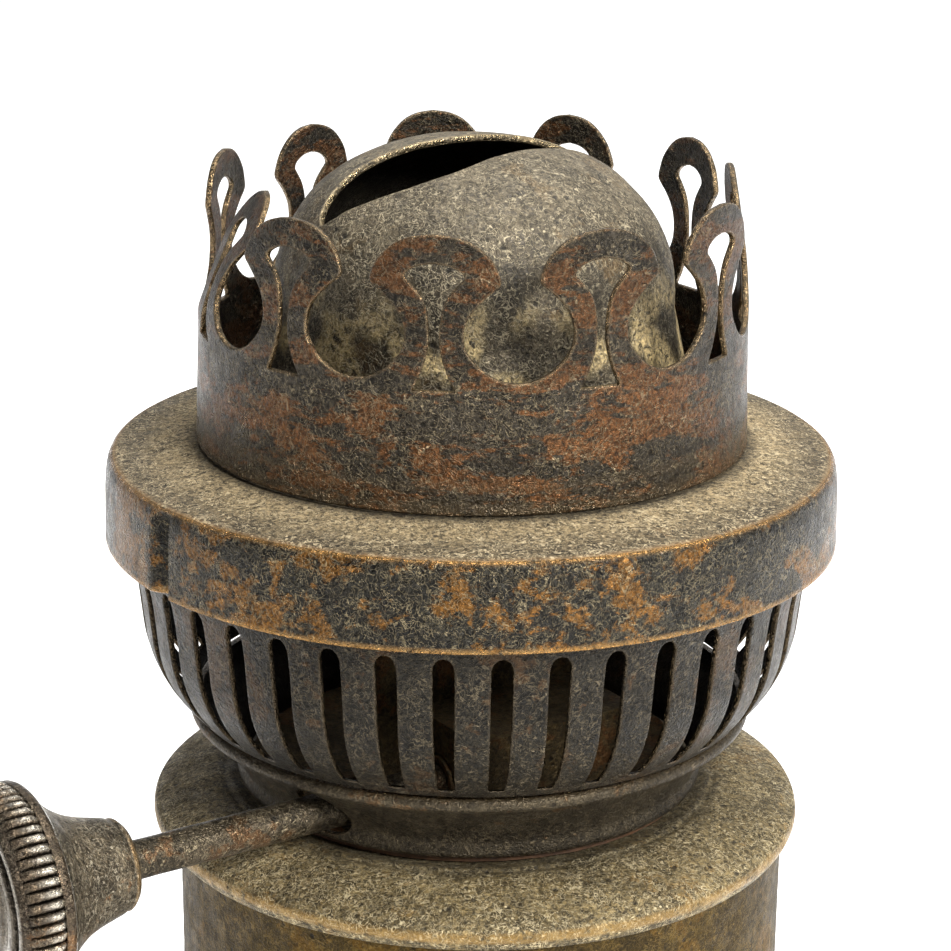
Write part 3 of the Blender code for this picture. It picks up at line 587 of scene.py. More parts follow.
INNER_BRASS = aged_metal(
    "inner_patina", ((66, 54, 35), (94, 78, 50), (52, 44, 30)), (98, 66, 36), (134, 116, 82),
    (146, 122, 78), (90, 78, 56), cover=0.45, crusted=0.2, dusted=0.3, metallic=0.7)
SHAFT_STEEL = aged_metal(
    "shaft_patina", ((50, 44, 34), (77, 68, 54), (42, 37, 28)), (84, 60, 37), (180, 165, 134),
    (132, 117, 92), (86, 76, 58), cover=0.35, crusted=0.4, dusted=0.15, rough=(0.26, 0.46), wormy=0.5)
KNOB = aged_metal(
    "knob_patina", ((73, 65, 52), (112, 101, 82), (56, 50, 40)), (110, 80, 50), (212, 201, 176),
    (176, 142, 94), (114, 102, 82), cover=0.28, crusted=0.45, dusted=0.15, rough=(0.26, 0.46), relief=1.3,
    gritty=1.0, wormy=0.6)
WHEEL = aged_metal(
    "wheel_patina", ((60, 50, 39), (90, 77, 61), (50, 42, 33)), (106, 77, 48), (172, 158, 134),
    (220, 213, 198), (96, 84, 67), cover=0.4, crusted=0.2, dusted=0.1, metallic=0.8, rough=(0.2, 0.38))
COTTON = wick_cotton()
LEATHER = oiled_leather()


# ---- gallery: crown, plate, dome

PRONGS = 11
FIRST_PRONG = math.radians(-7.3)
CROWN_R = (27.65, 27.3)
CROWN_THICK = 0.62
WINDOW_FOOT = 11.5  # height of the windows' feet over the crown's lower edge
# Each prong's own stance: its top bent inwards and sideways, its extra height and its head's share of width
LEANS = (0.0, 0.0, 0.0, 2.0, 0.5, 0.6, 0.3, 0.4, 0.7, 6.0, 0.5)
TWISTS = (0.0, 0.0, 0.0, 0.0, -0.3, 0.8, 0.5, -0.6, 0.0, 0.6, 1.0)
RISES = (0.1, 0.3, 0.6, 1.7, 1.7, 2.2, 2.2, 1.6, 1.3, -0.2, 0.2)
WIDTHS = (1.0, 1.0, 1.0, 0.85, 0.82, 0.82, 0.94, 0.8, 0.85, 0.85, 1.0)


def prong_edge():
    """Right half of one prong, from the valley to its top: sideways and height over the windows' feet."""
    half = math.pi * CROWN_R[1] / PRONGS
    stem = curve_through(
        [(half, 0.75), (6.3, 1.0), (4.6, 1.9), (3.05, 3.6), (2.7, 5.3), (3.2, 7.0), (4.5, 8.5),
         (5.75, 9.55)], 6)
    horn = curve_through(
        [(5.75, 9.55), (6.02, 9.95), (5.9, 10.6), (5.2, 12.0), (3.7, 13.35), (2.0, 14.05), (0.0, 14.3)], 6)
    return stem + horn[1:]


def prong_window():
    """The window in a prong's middle, clockwise."""
    top = curve_through([(0.0, 11.7), (1.3, 11.5), (2.35, 11.0), (2.75, 10.45), (2.3, 9.95)], 5)
    side = curve_through(
        [(2.3, 9.95), (1.35, 8.9), (0.75, 7.6), (0.52, 6.0), (0.5, 4.4), (0.75, 3.0), (1.35, 1.3),
         (2.0, 0.05)], 5)
    right = top + side[1:]
    left = [Vector((-p.x, p.y)) for p in reversed(right[1:])]
    return spaced(right + left, 0.3, closed=True)


def bend_crown(x, y, depth):
    """Bends the unrolled crown round the gallery, with the lean of each prong and small dents."""
    step = math.tau * CROWN_R[1] / PRONGS
    number = int(x // step) % PRONGS
    low_share = min(max(y / WINDOW_FOOT, 0.0), 1.0)
    radius = CROWN_R[0] + (CROWN_R[1] - CROWN_R[0]) * low_share - depth * CROWN_THICK
    above = max(y - WINDOW_FOOT - 1.5, 0.0) / 12.8
    radius -= LEANS[number] * above ** 1.6
    height = CROWN_LOW + (y + RISES[number] * above) * MM
    sideways = x - (number + 0.5) * step
    sideways *= 1 + (WIDTHS[number] - 1) * ramp_up(y - WINDOW_FOOT, 2.5, 8.5)
    around = number * step + sideways + TWISTS[number] * above ** 1.5
    azimuth = FIRST_PRONG + around / CROWN_R[1]
    spot = Vector((math.sin(azimuth), -math.cos(azimuth), 0.0))
    place = (spot.x, spot.y, height * 30)
    bumps = wobble(place, 0.55, 0.10) + wobble(place, 0.13, 0.035, 4.0)
    return BURNER + spot * (radius + bumps) * MM + Vector((0, 0, height))


def crown_age_and_shade(x, y, depth, spot):
    # Painted shade darkens the inner face; the blue mark also rises towards the prong tops.
    inside = 0.25 if depth > 0.5 else 0.0
    foot = 0.45 * ramp_up(y, 1.6, 0.2)
    line = 0.35 * max(0.0, 1 - abs(y - 2.7) / 0.22)
    return (max(foot, line) if depth < 0.5 else 0.0, 0.0, max(inside, 0.35 * ramp_up(y, 10.0, 14.5)))


def build_crown():
    step = math.tau * CROWN_R[1] / PRONGS
    period = step * PRONGS
    right = prong_edge()
    # From one valley to the next, left to right, then turned round so that the metal is on its left.
    left = [Vector((-p.x, p.y)) for p in right]
    one = left[:-1] + list(reversed(right))
    top = []
    for number in range(PRONGS):
        top += [Vector((p.x + step * (number + 0.5), p.y + WINDOW_FOOT)) for p in spaced(one, 0.3)[:-1]]
    top = [top[0] + Vector((period, 0))] + list(reversed(top[1:]))
    bottom = [Vector((period * i / 330, 0.0)) for i in range(330)]
    window = prong_window()
    holes = []
    for number in range(PRONGS):
        holes.append([Vector((p.x + step * (number + 0.5), p.y + WINDOW_FOOT)) for p in window])
    loose = []
    rows = 12
    for row in range(rows):
        for i in range(240):
            shift = 0.5 if row % 2 else 0.0
            loose.append(Vector((period * (i + 0.25 + shift) / 240, 0.75 + row * 10.2 / (rows - 1))))
    seam = [0.9 + 1.0 * i for i in range(11)]
    return bent_sheet("crown_band", [bottom, top], holes, loose, bend_crown, CROWN_THICK, GUNMETAL,
                      "gallery",
                      ("chimney_crown",), period=period, paint=crown_age_and_shade, seam=seam,
                      edge=0.11)


NOTCHES = (math.radians(-50.3), math.radians(129.7))


def notch_depth(angle):
    """How far the rim is pressed in: a slow run in from the left that ends in a short step."""
    azimuth = angle + math.pi / 2
    for centre in NOTCHES:
        turn = math.degrees((azimuth - centre + math.pi) % math.tau - math.pi)
        if -4.6 < turn < 0.8:
            return 1.2 * (ramp_up(turn, -4.6, -1.0) if turn < -0.2 else ramp_up(turn, 0.8, 0.0))
    return 0.0


def shape_rim(angle, radius, height):
    share = ramp_up(radius / MM, 34.6, 36.2)
    spot = (math.cos(angle), math.sin(angle), height * 20)
    bumps = wobble(spot, 0.5, 0.10, 2.0) + wobble(spot, 0.11, 0.03, 5.0)
    low = ramp_up((PLATE_TOP - height) / MM, 1.2, 2.4)
    return radius + (bumps * share - notch_depth(angle) * share * low) * MM


def rim_age_and_shade(angle, radius, height):
    r = radius / MM
    drop = (PLATE_TOP - height) / MM
    corner = max(0.0, 1 - abs(drop - 1.15) / 0.24) if r > 35.2 else 0.0
    foot = ramp_up(drop, 9.0, 9.6) if r > 36.3 else 0.0
    dust = ramp_up(r, 34.8, 30.0) * 0.75 if drop < 1.2 else 0.0
    # Painted shade: darker at the crown's foot and on the underside of the plate.
    grime_and_shade = 0.75 * ramp_up(r, 29.0, 27.6) if r < 30 else 0.0
    under = 0.6 if drop > 1.0 and r < 35.9 else 0.0
    return (max(0.95 * corner, 0.9 * foot), dust, max(grime_and_shade, under))


def build_plate():
    t = PLATE_TOP / MM
    face = [
        (36.98, RIM_LOW / MM + 0.12), (36.95, RIM_LOW / MM + 0.6), (36.85, t - 4.4), (36.72, t - 2.6),
        (36.55, t - 1.75)]
    corner = curve_through([(36.55, t - 1.75), (36.3, t - 1.25), (35.85, t - 0.98), (35.2, t - 0.86)], 6)
    top = curve_through(
        [(35.2, t - 0.86), (32.5, t - 0.55), (29.5, t - 0.22), (27.6, t - 0.02), (24.0, t - 0.02),
         (21.0, t)], 8)
    outer = spaced(face, 0.55) + spaced(corner, 0.22)[1:] + spaced(top, 0.6)[1:]
    inner = [
        (21.0, t - 0.62), (27.6, t - 0.66), (32.5, t - 1.2), (35.1, t - 1.55), (35.75, t - 1.95),
        (36.0, t - 2.6), (36.2, t - 4.4), (36.3, RIM_LOW / MM + 0.6), (36.34, RIM_LOW / MM + 0.1),
        (36.5, RIM_LOW / MM), (36.85, RIM_LOW / MM)]
    outline = metres(outer + inner)
    plate = turned("gallery_shell", outline, 720, upright(BURNER), RIM, "gallery", ("gallery_plate",),
                   rim_age_and_shade, shape_rim)
    # The flat top is dustier than the rim, so its faces take their own material.
    plate.data.materials.append(DUSTY)
    for face in plate.data.polygons:
        centre = face.center - BURNER
        if face.normal.z > 0.72 and math.hypot(centre.x, centre.y) < 36.1 * MM:
            face.material_index = 1
    return plate


DOME_SHOULDER = DOME_TOP - 16.1 * MM
DOME_R = 19.9
DOME_THICK = 0.7


def dome_profile():
    """The dome's outer face from apex to flange, as (radius, height) in millimetres."""
    power = 2.35
    steps = 40
    line = []
    for i in range(steps + 1):
        angle = math.pi / 2 * (1 - i / steps)
        radius = DOME_R * math.cos(angle) ** (2 / power) if i else 0.0
        line.append(Vector((radius, (DOME_SHOULDER / MM) + 16.1 * math.sin(angle) ** (2 / power))))
    foot = DOME_LOW / MM
    line[-1].x = DOME_R
    tail = curve_through(
        [(DOME_R, line[-1].y), (20.7, line[-1].y - 3.6), (21.5, line[-1].y - 7.4), (22.4, foot + 2.0),
         (22.9, foot + 0.9)], 8)
    return line + tail[1:] + [Vector((23.6, foot + 0.72)), Vector((24.7, foot + 0.7))]


def travelled(line):
    """Distance along the line at each of its points."""
    total = [0.0]
    for a, b in zip(line, line[1:]):
        total.append(total[-1] + (b - a).length)
    return total


DOME_LINE = dome_profile()
DOME_WAY = travelled(DOME_LINE)


def on_dome(distance):
    """The dome's point and its outward direction, at this distance from the apex along its face."""
    distance = min(max(distance, 0.0), DOME_WAY[-1])
    for i in range(len(DOME_WAY) - 1):
        if distance <= DOME_WAY[i + 1]:
            break
    span = DOME_WAY[i + 1] - DOME_WAY[i]
    share = (distance - DOME_WAY[i]) / span
    point = DOME_LINE[i].lerp(DOME_LINE[i + 1], share)
    before = DOME_LINE[i] - DOME_LINE[i - 1] if i else Vector((1.0, 0.0))
    here = DOME_LINE[i + 1] - DOME_LINE[i]
    after = DOME_LINE[i + 2] - DOME_LINE[i + 1] if i + 2 < len(DOME_LINE) else here
    start = (before.normalized() + here.normalized()).normalized()
    end = (here.normalized() + after.normalized()).normalized()
    along = start.lerp(end, share).normalized()
    return point, Vector((-along.y, along.x))


def dome_distance(radius):
    """Distance from the apex to the given radius, on the upper dome."""
    for i in range(len(DOME_LINE) - 1):
        if DOME_LINE[i].x <= radius <= DOME_LINE[i + 1].x:
            share = (radius - DOME_LINE[i].x) / (DOME_LINE[i + 1].x - DOME_LINE[i].x)
            return DOME_WAY[i] + (DOME_WAY[i + 1] - DOME_WAY[i]) * share
    return DOME_WAY[-1]


# The slot's two lips in turn, as places along the wick and across it.
SLOT_NEAR = (
    (16.6, 1.8), (14.2, 4.1), (10.6, 6.2), (6.4, 6.9), (2.0, 6.1), (-2.0, 5.2), (-6.0, 4.3), (-10.5, 3.1),
    (-14.5, 1.8))
SLOT_FAR = (
    (-16.4, 0.2), (-14.0, -1.0), (-9.0, -1.5), (-3.0, -1.9), (3.0, -2.3), (8.0, -2.6), (12.6, -2.6),
    (15.8, -1.9), (17.3, 0.0))


def slot_outline():
    """The flame slot in the dome's unrolled disc, clockwise; its long way lies along the wick."""
    plan = curve_through(SLOT_NEAR + SLOT_FAR + SLOT_NEAR[:1], 8)[:-1]
    loop = []
    for p in plan:
        spot = SHAFT_DIR * p.x + ACROSS * p.y
        flat = Vector((spot.x, spot.y))
        loop.append(flat.normalized() * dome_distance(flat.length))
    if sum(a.cross(b) for a, b in zip(loop, loop[1:] + loop[:1])) > 0:
        loop.reverse()
    return spaced(loop, 0.35, closed=True)


def bend_dome(x, y, depth):
    flat = Vector((x, y))
    point, out = on_dome(flat.length)
    way = flat.normalized() if flat.length > 1e-6 else Vector((1.0, 0.0))
    spot = Vector((way.x * point.x, way.y * point.x, point.y))
    facing = Vector((way.x * out.x, way.y * out.x, out.y))
    # The lip of the slot is pressed slightly up at the end near the thumb wheel.
    along = spot.x * SHAFT_DIR.x + spot.y * SHAFT_DIR.y
    across = spot.x * ACROSS.x + spot.y * ACROSS.y
    lip = 0.55 * ramp_up(along, 8.0, 15.0) * math.exp(-((across - 2.0) / 3.2) ** 2)
    lip *= ramp_up(along, 20.0, 16.0)
    bumps = wobble(spot, 9.0, 0.22, 1.0) + wobble(spot, 3.0, 0.06, 6.0)
    bumps *= ramp_up(flat.length, DOME_WAY[-1], DOME_WAY[-1] - 4)
    return BURNER + (spot + facing * (lip + bumps - depth * DOME_THICK)) * MM


def dome_age_and_shade(x, y, depth, spot):
    height = (spot.z - DOME_LOW) / MM
    # Painted shade: the inner face, the lower left side and the foot inside the crown are darkened.
    if depth > 0.5:
        return (0.0, 0.0, 0.9)
    side = (spot - BURNER).normalized()
    shade = 0.65 * ramp_up(height, 25.0, 12.0) * ramp_up(-side.x + 0.35 * side.y, -0.5, 0.7)
    cream = 0.0
    low = ramp_up(height, 20.0, 12.0)
    patchy = wobble(spot, 0.0035, 1.0, 9.0)
    if low > 0 and -0.75 < side.x < 0.45 and side.y < 0:
        cream = 0.95 * ramp_up(patchy, -0.02, 0.2) * low
    return (0.0, cream, max(shade, 0.35 * ramp_up(height, 9.0, 2.0)))


def build_dome():
    reach = DOME_WAY[-1]
    turns = [math.tau * i / 420 for i in range(420)]
    outline = [Vector((reach * math.cos(a), reach * math.sin(a))) for a in turns]
    slot = slot_outline()
    box = [min(p.x for p in slot), max(p.x for p in slot), min(p.y for p in slot), max(p.y for p in slot)]
    loose = [Vector((0.0, 0.0))] if not inside((0, 0), slot) else []
    rings = int(reach / 0.85)
    for ring in range(1, rings):
        radius = reach * ring / rings
        count = max(int(math.tau * min(radius, 24) / 0.95), 8)
        for i in range(count):
            angle = math.tau * (i + 0.5 * (ring % 2)) / count
            p = Vector((radius * math.cos(angle), radius * math.sin(angle)))
            near = box[0] - 1 < p.x < box[1] + 1 and box[2] - 1 < p.y < box[3] + 1
            if near and (inside(p, slot) or min((p - q).length for q in slot) < 0.8):
                continue
            if radius < reach - 0.7:
                loose.append(p)
    return bent_sheet("dome_shell", [outline], [slot], loose, bend_dome, DOME_THICK, SOOT, "gallery",
                      ("flame_dome",), paint=dome_age_and_shade, edge=0.12)


def inside(point, loop):
    """Whether the point lies inside the closed loop."""
    hit = False
    x, y = point
    for (x0, y0), (x1, y1) in zip(loop, loop[1:] + loop[:1]):
        if (y0 > y) != (y1 > y) and x < x0 + (y - y0) * (x1 - x0) / (y1 - y0):
            hit = not hit
    return hit


def build_seat_and_rivets():
    low = SEAT_LOW / MM
    seat = [
        (25.1, low + 0.1), (25.2, low), (26.6, low), (26.7, low + 0.1), (26.7, low + 0.5),
        (26.6, low + 0.6), (25.2, low + 0.6), (25.1, low + 0.5)]
    turned("seat_ring", metres(seat), 160, upright(BURNER), GUNMETAL, "gallery", ("chimney_seat",),
           lambda a, r, h: (0.3, 0.2, 0.4))
    for i in range(3):
        node = f"dome_rivet_{i + 1}"
        low_corner, high_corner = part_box(node)
        centre = middle(node)
        centre.z = 0.0
        bottom, top = low_corner[2] / MM, high_corner[2] / MM
        rises = [math.pi / 2 * (1 - j / 6) for j in range(7)]
        head = [(1.1 * math.cos(a), top - 0.6 + 0.6 * math.sin(a)) for a in rises]
        head[0] = (0.0, top)
        foot = [
            (0.6, top - 0.62), (0.6, bottom + 0.42), (1.1, bottom + 0.4), (0.9, bottom + 0.1),
            (0.0, bottom)]
        turned(f"rivet_{i + 1}", metres(head + foot), 28, upright(centre), INNER_BRASS, "gallery",
               (node,), lambda a, r, h: (0.5, 0.2, 0.2))


# ---- burner body

BASKET_THICK = 0.6
SLOTS = 40
SLOT_PHASE = 5.2
BASKET_LINE = curve_through(
    [(34.65, 82.2), (34.6, 78.0), (34.55, 75.2), (34.4, 73.4), (33.95, 70.5), (33.62, 67.5), (33.3, 65.2),
     (32.6, 62.9), (31.35, 60.5), (29.95, 58.75), (28.75, 57.4)], 6)
BASKET_SPAN = 34.0  # the radius at which the basket is drawn flat
SLOT_STEP = 360 / SLOTS


def basket_age_and_shade(x, y, depth, spot):
    # Painted shade on the inner face and towards the top, under the gallery's rim.
    if depth > 0.5:
        return (0.0, 0.0, 0.85)
    return (0.0, 0.12 * ramp_up(y, 64.0, 58.0), 0.55 * ramp_up(y, 72.5, 75.5))


def build_basket():
    period = math.tau * BASKET_SPAN
    bottom, top = level_chains(period, BASKET_LINE[-1].y, BASKET_LINE[0].y, 480)
    between = [58.9 + 1.05 * i for i in range(14)]  # heights beside the slots
    above = [74.6, 76.0, 78.0, 80.2]  # and over them
    place = bent_wall(BASKET_LINE, BASKET_SPAN, BASKET_THICK, (0.03, 0.4), 0.08, 3.0)
    holes = []
    for k in range(SLOTS):
        turn = math.radians(SLOT_PHASE + SLOT_STEP * k) * BASKET_SPAN % period
        outline = []
        for z, half in (
                (73.4, 0.0), (73.32, 0.42), (72.95, 0.8), (72.4, 1.0), (69.0, 1.0), (65.5, 0.96),
                (62.0, 0.9), (59.4, 0.83), (58.45, 0.8)):
            outline.append((half * BASKET_SPAN / lookup(BASKET_LINE, z), z))
        right = [Vector((turn + x, z)) for x, z in outline]
        left = [Vector((turn - x, z)) for x, z in reversed(outline[1:])]
        holes.append(spaced(right + left, 0.42, closed=True))
    loose = []
    for k in range(SLOTS):
        mid = math.radians(SLOT_PHASE + SLOT_STEP * (k + 0.5)) * BASKET_SPAN % period
        loose += [Vector((mid, z)) for z in between]
    for z in above:
        loose += [Vector((period * (i + 0.5) / 200, z)) for i in range(200)]
    return bent_sheet("basket_shell", [bottom, top], holes, loose, place, BASKET_THICK, BASKET, "burner",
                      ("air_basket",), period=period, paint=basket_age_and_shade, seam=between + above,
                      edge=0.1, band=0.32)


COLLAR_LINE = (
    curve_through([(28.35, 57.15), (28.75, 56.95), (29.0, 56.55), (28.85, 56.0), (28.2, 55.55),
                   (27.35, 55.25)], 4)
    + curve_through([(27.0, 54.95), (26.3, 54.2), (25.4, 53.1), (24.6, 51.9), (24.1, 50.9), (23.95, 50.2),
                     (24.2, 49.55), (24.15, 48.97)], 4)
)
COLLAR_SPAN = 25.0
COLLAR_THICK = 0.8
SHAFT_CLEARANCE = 0.65


def shaft_hole():
    """Where the winder shaft passes through the collar, drawn flat, clockwise."""
    reach = SHAFT_R / MM + SHAFT_CLEARANCE
    loop = []
    start = math.atan2(SHAFT_DIR.x, -SHAFT_DIR.y)
    for i in range(40):
        angle = -math.tau * i / 40
        across = SHAFT_OFFSET / MM + reach * math.cos(angle)
        z = SHAFT_AT.z / MM + reach * math.sin(angle)
        turn = math.asin(across / lookup(COLLAR_LINE, z))
        loop.append(Vector(((start + turn) % math.tau * COLLAR_SPAN, z)))
    if sum(a.cross(b) for a, b in zip(loop, loop[1:] + loop[:1])) > 0:
        loop.reverse()
    return loop


def collar_age_and_shade(x, y, depth, spot):
    # Painted shade on the inner face, in the crease under the bead and at the foot, where the collar meets
    # the lid.
    if depth > 0.5:
        return (0.0, 0.0, 0.8)
    bead = 0.15 * max(0.0, 1 - abs(y - 56.6) / 0.5)
    line = 0.45 * max(0.0, 1 - abs(y - 55.35) / 0.25)
    return (bead, 0.0, max(line, 0.4 * ramp_up(y, 50.2, 49.2)))


def build_collar():
    period = math.tau * COLLAR_SPAN
    bottom, top = level_chains(period, COLLAR_LOW / MM + 0.02, COLLAR_TOP / MM, 360)
    place = bent_wall(COLLAR_LINE, COLLAR_SPAN, COLLAR_THICK, (0.02, 0.5), 0.07, 8.0)
    hole = shaft_hole()
    levels = [49.6, 50.3, 51.0, 51.8, 52.6, 53.4, 54.2, 54.95, 55.25, 55.55, 55.85, 56.15, 56.5]
    loose = []
    for z in levels:
        for i in range(240):
            p = Vector((period * (i + 0.5) / 240, z))
            if min((p - q).length for q in hole) > 0.7 and not inside(p, hole):
                loose.append(p)
    return bent_sheet("collar_shell", [bottom, top], [hole], loose, place, COLLAR_THICK, COLLAR, "burner",
                      ("base_collar",), period=period, paint=collar_age_and_shade, seam=levels,
                      edge=0.1, band=0.3)


# ---- fount

def lid_place(point):
    """The lid's middle is on the burner's axis and its seam on the lid's own."""
    share = ramp_up(math.hypot(point.x, point.y) / MM, 24.5, 33.6)
    return point + BURNER.lerp(LID, share)


def lid_age_and_shade(angle, radius, height):
    r = radius / MM
    # Painted shade on the underside and, as the collar's shadow, in the crease and ring round the collar.
    if height < LID_TOP - 4 * MM and r < 32.4:
        return (0.0, 0.0, 0.5)
    bead = max(0.0, 1 - abs(r - 33.62) / 0.16)
    crease = 0.5 * max(0.0, 1 - abs(r - 25.5) / 0.4)
    return (0.7 * bead, 0.0, max(crease, 0.7 * ramp_up(r, 28.0, 24.0)))


def shape_lid(angle, radius, height):
    spot = (math.cos(angle) * radius, math.sin(angle) * radius, 0.0)
    return radius + wobble(spot, 0.012, 0.00008, 2.5)


def build_fount():
    t = LID_TOP / MM
    top = curve_through(
        [(22.0, t - 0.55), (23.7, t - 0.4), (24.9, t - 0.22), (25.5, t - 0.42), (26.4, t - 0.32),
         (28.5, t - 0.62), (31.0, t - 1.35), (32.6, t - 2.0), (33.05, t - 2.3)], 8)
    bead = curve_through(
        [(33.05, t - 2.3), (33.42, t - 2.55), (33.62, t - 3.05), (33.6, t - 3.6), (33.35, t - 4.15),
         (33.05, t - 4.6), (32.9, t - 4.75)], 5)
    under = [(32.5, t - 4.75), (32.45, t - 3.0), (28.5, t - 1.6), (24.5, t - 1.0), (22.0, t - 1.25)]
    outline = metres(top + bead[1:] + under)
    turned("lid_shell", outline, 480, lid_place, LID_BRASS, "fount", ("fount_top",),
           lid_age_and_shade, shape_lid)

    r = 31.6
    wall_top = WALL_TOP / MM
    wall = spaced([(r, wall_top), (r, 1.4)], 0.8) + arc((r - 1.3, 1.3), 1.3, -4, -90, 10)
    base = curve_through([(r - 1.3, 0.0), (27.5, 0.05), (26.8, 0.5), (20.0, 0.62), (0.0, 0.65)], 6)
    inner = [(0.0, 1.3), (20.0, 1.3), (27.0, 1.2), (29.8, 0.8), (30.7, 1.6), (30.9, 3.0), (30.9, wall_top)]
    outline = metres(wall + base[1:] + inner)

    def wall_age_and_shade(angle, radius, height):
        # Painted shade in a band under the lid's bead; the wall also darkens towards the bottom.
        z = height / MM
        foot = 0.8 * ramp_up(z, 1.6, 0.3)
        band = 0.5 * max(0.0, 1 - abs(z - wall_top + 1.6) / 0.8)
        return (foot, 0.0, band + 0.25 * ramp_up(z, 9.0, 1.0))

    def shape_wall(angle, radius, height):
        if radius < 30.5 * MM:
            return radius
        spot = (math.cos(angle), math.sin(angle), height * 25)
        ring = 0.03 * math.sin(height / MM * 2.2) * wobble(spot, 0.8, 1.0, 1.0)
        return radius + (wobble(spot, 0.45, 0.12, 5.0) + ring) * MM

    turned("wall_shell", outline, 480, upright(FOUNT), WALL_BRASS, "fount", ("fount_body",),
           wall_age_and_shade, shape_wall)


# ---- winder

WHEEL_R = 10.3
RIDGES = 61


def span_of(node):
    """Where a node starts and ends along the shaft, in millimetres."""
    mesh = frame["nodes"][node].data
    places = [(v.co - SHAFT_AT).dot(SHAFT_DIR) / MM for v in mesh.vertices]
    return min(places), max(places)


WHEEL_FROM, WHEEL_TO = span_of("knob_wheel")
RIDGE_FROM, RIDGE_TO = WHEEL_FROM + 1.25, WHEEL_TO - 0.75
RIDGE_HIGH = 0.62


def shape_band(angle, radius, height):
    """Rounded ridges across the wheel's edge, with round ends."""
    s = height / MM
    if radius < (WHEEL_R - 0.75) * MM or not RIDGE_FROM < s < RIDGE_TO:
        return radius
    centre = (RIDGE_FROM + RIDGE_TO) / 2
    half = (RIDGE_TO - RIDGE_FROM) / 2
    reach = 1 - abs(s - centre) / half
    phase = (angle * RIDGES / math.tau) % 1.0 - 0.5
    uneven = 1 + 0.25 * wobble((math.cos(angle) * 9, math.sin(angle) * 9, 0), 0.7, 1.0, 3.0)
    crest = math.sqrt(max(0.0, 1 - (2 * phase) ** 2))
    swell = RIDGE_HIGH * uneven * crest * min(1.0, math.sqrt(max(reach, 0.0) * 2.4))
    return radius + (swell - RIDGE_HIGH) * MM


def wheel_age(angle, radius, height):
    s = height / MM
    r = radius / MM
    if r > WHEEL_R - 0.75 and RIDGE_FROM < s < RIDGE_TO:
        phase = abs((angle * RIDGES / math.tau) % 1.0 - 0.5) * 2
        reach = (s - RIDGE_FROM) / (RIDGE_TO - RIDGE_FROM)
        return (
            0.95 * ramp_up(phase, 0.75, 0.1) * ramp_up(reach, 0.75, 0.05), 0.0, ramp_up(phase, 0.55, 0.95))
    back = 0.9 * max(0.0, 1 - abs(s - WHEEL_FROM - 0.1) / 0.22)
    line = 0.8 * max(0.0, 1 - abs(r - 8.9) / 0.2) if s > WHEEL_TO - 0.4 else 0.0
    return (max(back, line), 0.0, 0.35 if s > WHEEL_TO - 0.9 else 0.1)


def laid(outline):
    """A line of (distance along the shaft, radius) turned round for the lathe."""
    return [Vector((r, s)) * MM for s, r in outline]


def build_winder():
    bore = SHAFT_R / MM + 0.3
    first, last = span_of("winder_shaft")
    r = SHAFT_R / MM
    body = [(first, 0.0), (first, r - 0.5), (first + 0.5, r)]
    body += [(first + 0.5 + (last - first - 1.0) * i / 60, r) for i in range(1, 61)]
    body += [(last, r - 0.5), (last, 0.0)]

    def shape_shaft(angle, radius, height):
        spot = (math.cos(angle) * 2, math.sin(angle) * 2, height * 600)
        return radius + (wobble(spot, 2.2, 0.05 * MM, 3.0) if radius > MM else 0.0)

    # The shaft's blue mark is painted shade, darkest where it runs into the collar.
    turned("shaft_rod", laid(body), 64, on_shaft, SHAFT_STEEL, "winder", ("winder_shaft",),
           lambda a, rr, h: (0.0, 0.0, 0.5 * ramp_up(h / MM, 27.0, 22.0)), shape_shaft)

    start, end = span_of("knob_boss")
    lip = [
        (start, bore), (start, 3.55), (start + 0.12, 3.95), (start + 0.45, 4.3), (start + 0.62, 4.42),
        (start + 0.85, 4.32)]
    flare = curve_through(
        [(start + 0.85, 4.32), (start + 1.5, 4.62), (start + 2.6, 4.9), (start + 4.2, 5.35),
         (start + 5.6, 5.95), (start + 7.0, 6.9), (start + 8.0, 7.85), (end, 8.8)], 6)
    outline = lip + [tuple(p) for p in flare[1:]] + [(end, bore)]

    def boss_age(angle, radius, height):
        s = height / MM - start
        groove = max(0.0, 1 - abs(s - 0.9) / 0.25)
        return (0.7 * max(0.0, 1 - abs(s - 0.5) / 0.3), 0.0, 0.6 * groove)

    turned("boss_flare", laid(outline), 160, on_shaft, KNOB, "winder", ("knob_boss",),
           boss_age)

    a, b = WHEEL_FROM, WHEEL_TO
    back = [
        (a, bore), (a, 8.6), (a + 0.02, 9.3), (a + 0.1, 9.6), (a + 0.32, 9.85), (a + 0.62, 10.0),
        (a + 1.1, 10.02), (a + 1.24, 9.98)]
    band = [(a + 1.26 + (b - a - 2.02) * i / 16, WHEEL_R - 0.01) for i in range(17)]
    front = [
        (b - 0.74, 9.62), (b - 0.5, 9.55), (b - 0.12, 9.3), (b, 9.0), (b, 8.75), (b - 0.16, 8.6),
        (b - 0.2, 8.2), (b - 0.35, 7.9), (b - 1.0, 7.8), (b - 1.0, bore)]
    turned("wheel_rim", laid(back + band + front), RIDGES * 12, on_shaft, WHEEL, "winder", ("knob_wheel",),
           wheel_age, shape_band)

    start, end = span_of("knob_face")
    face = [
        (start, bore), (start, 7.3), (start + 0.1, 7.4), (end - 0.15, 7.4), (end, 7.25), (end, 6.4),
        (end - 0.2, 6.2), (end - 0.2, 5.2), (end, 5.0), (end, bore)]
    turned("face_disc", laid(face), 120, on_shaft, WHEEL, "winder", ("knob_face",),
           lambda an, rr, h: (0.6 if 6.2 < rr / MM < 6.5 else 0.1, 0.1, 0.2))
    start, end = span_of("knob_washer")
    washer = [(start, bore), (start, 3.45), (start + 0.12, 3.6), (end - 0.15, 3.6), (end, 3.4), (end, bore)]
    turned("shaft_washer", laid(washer), 64, on_shaft, INNER_BRASS, "winder", ("knob_washer",),
           lambda an, rr, h: (0.6, 0.0, 0.1))


# ---- wick

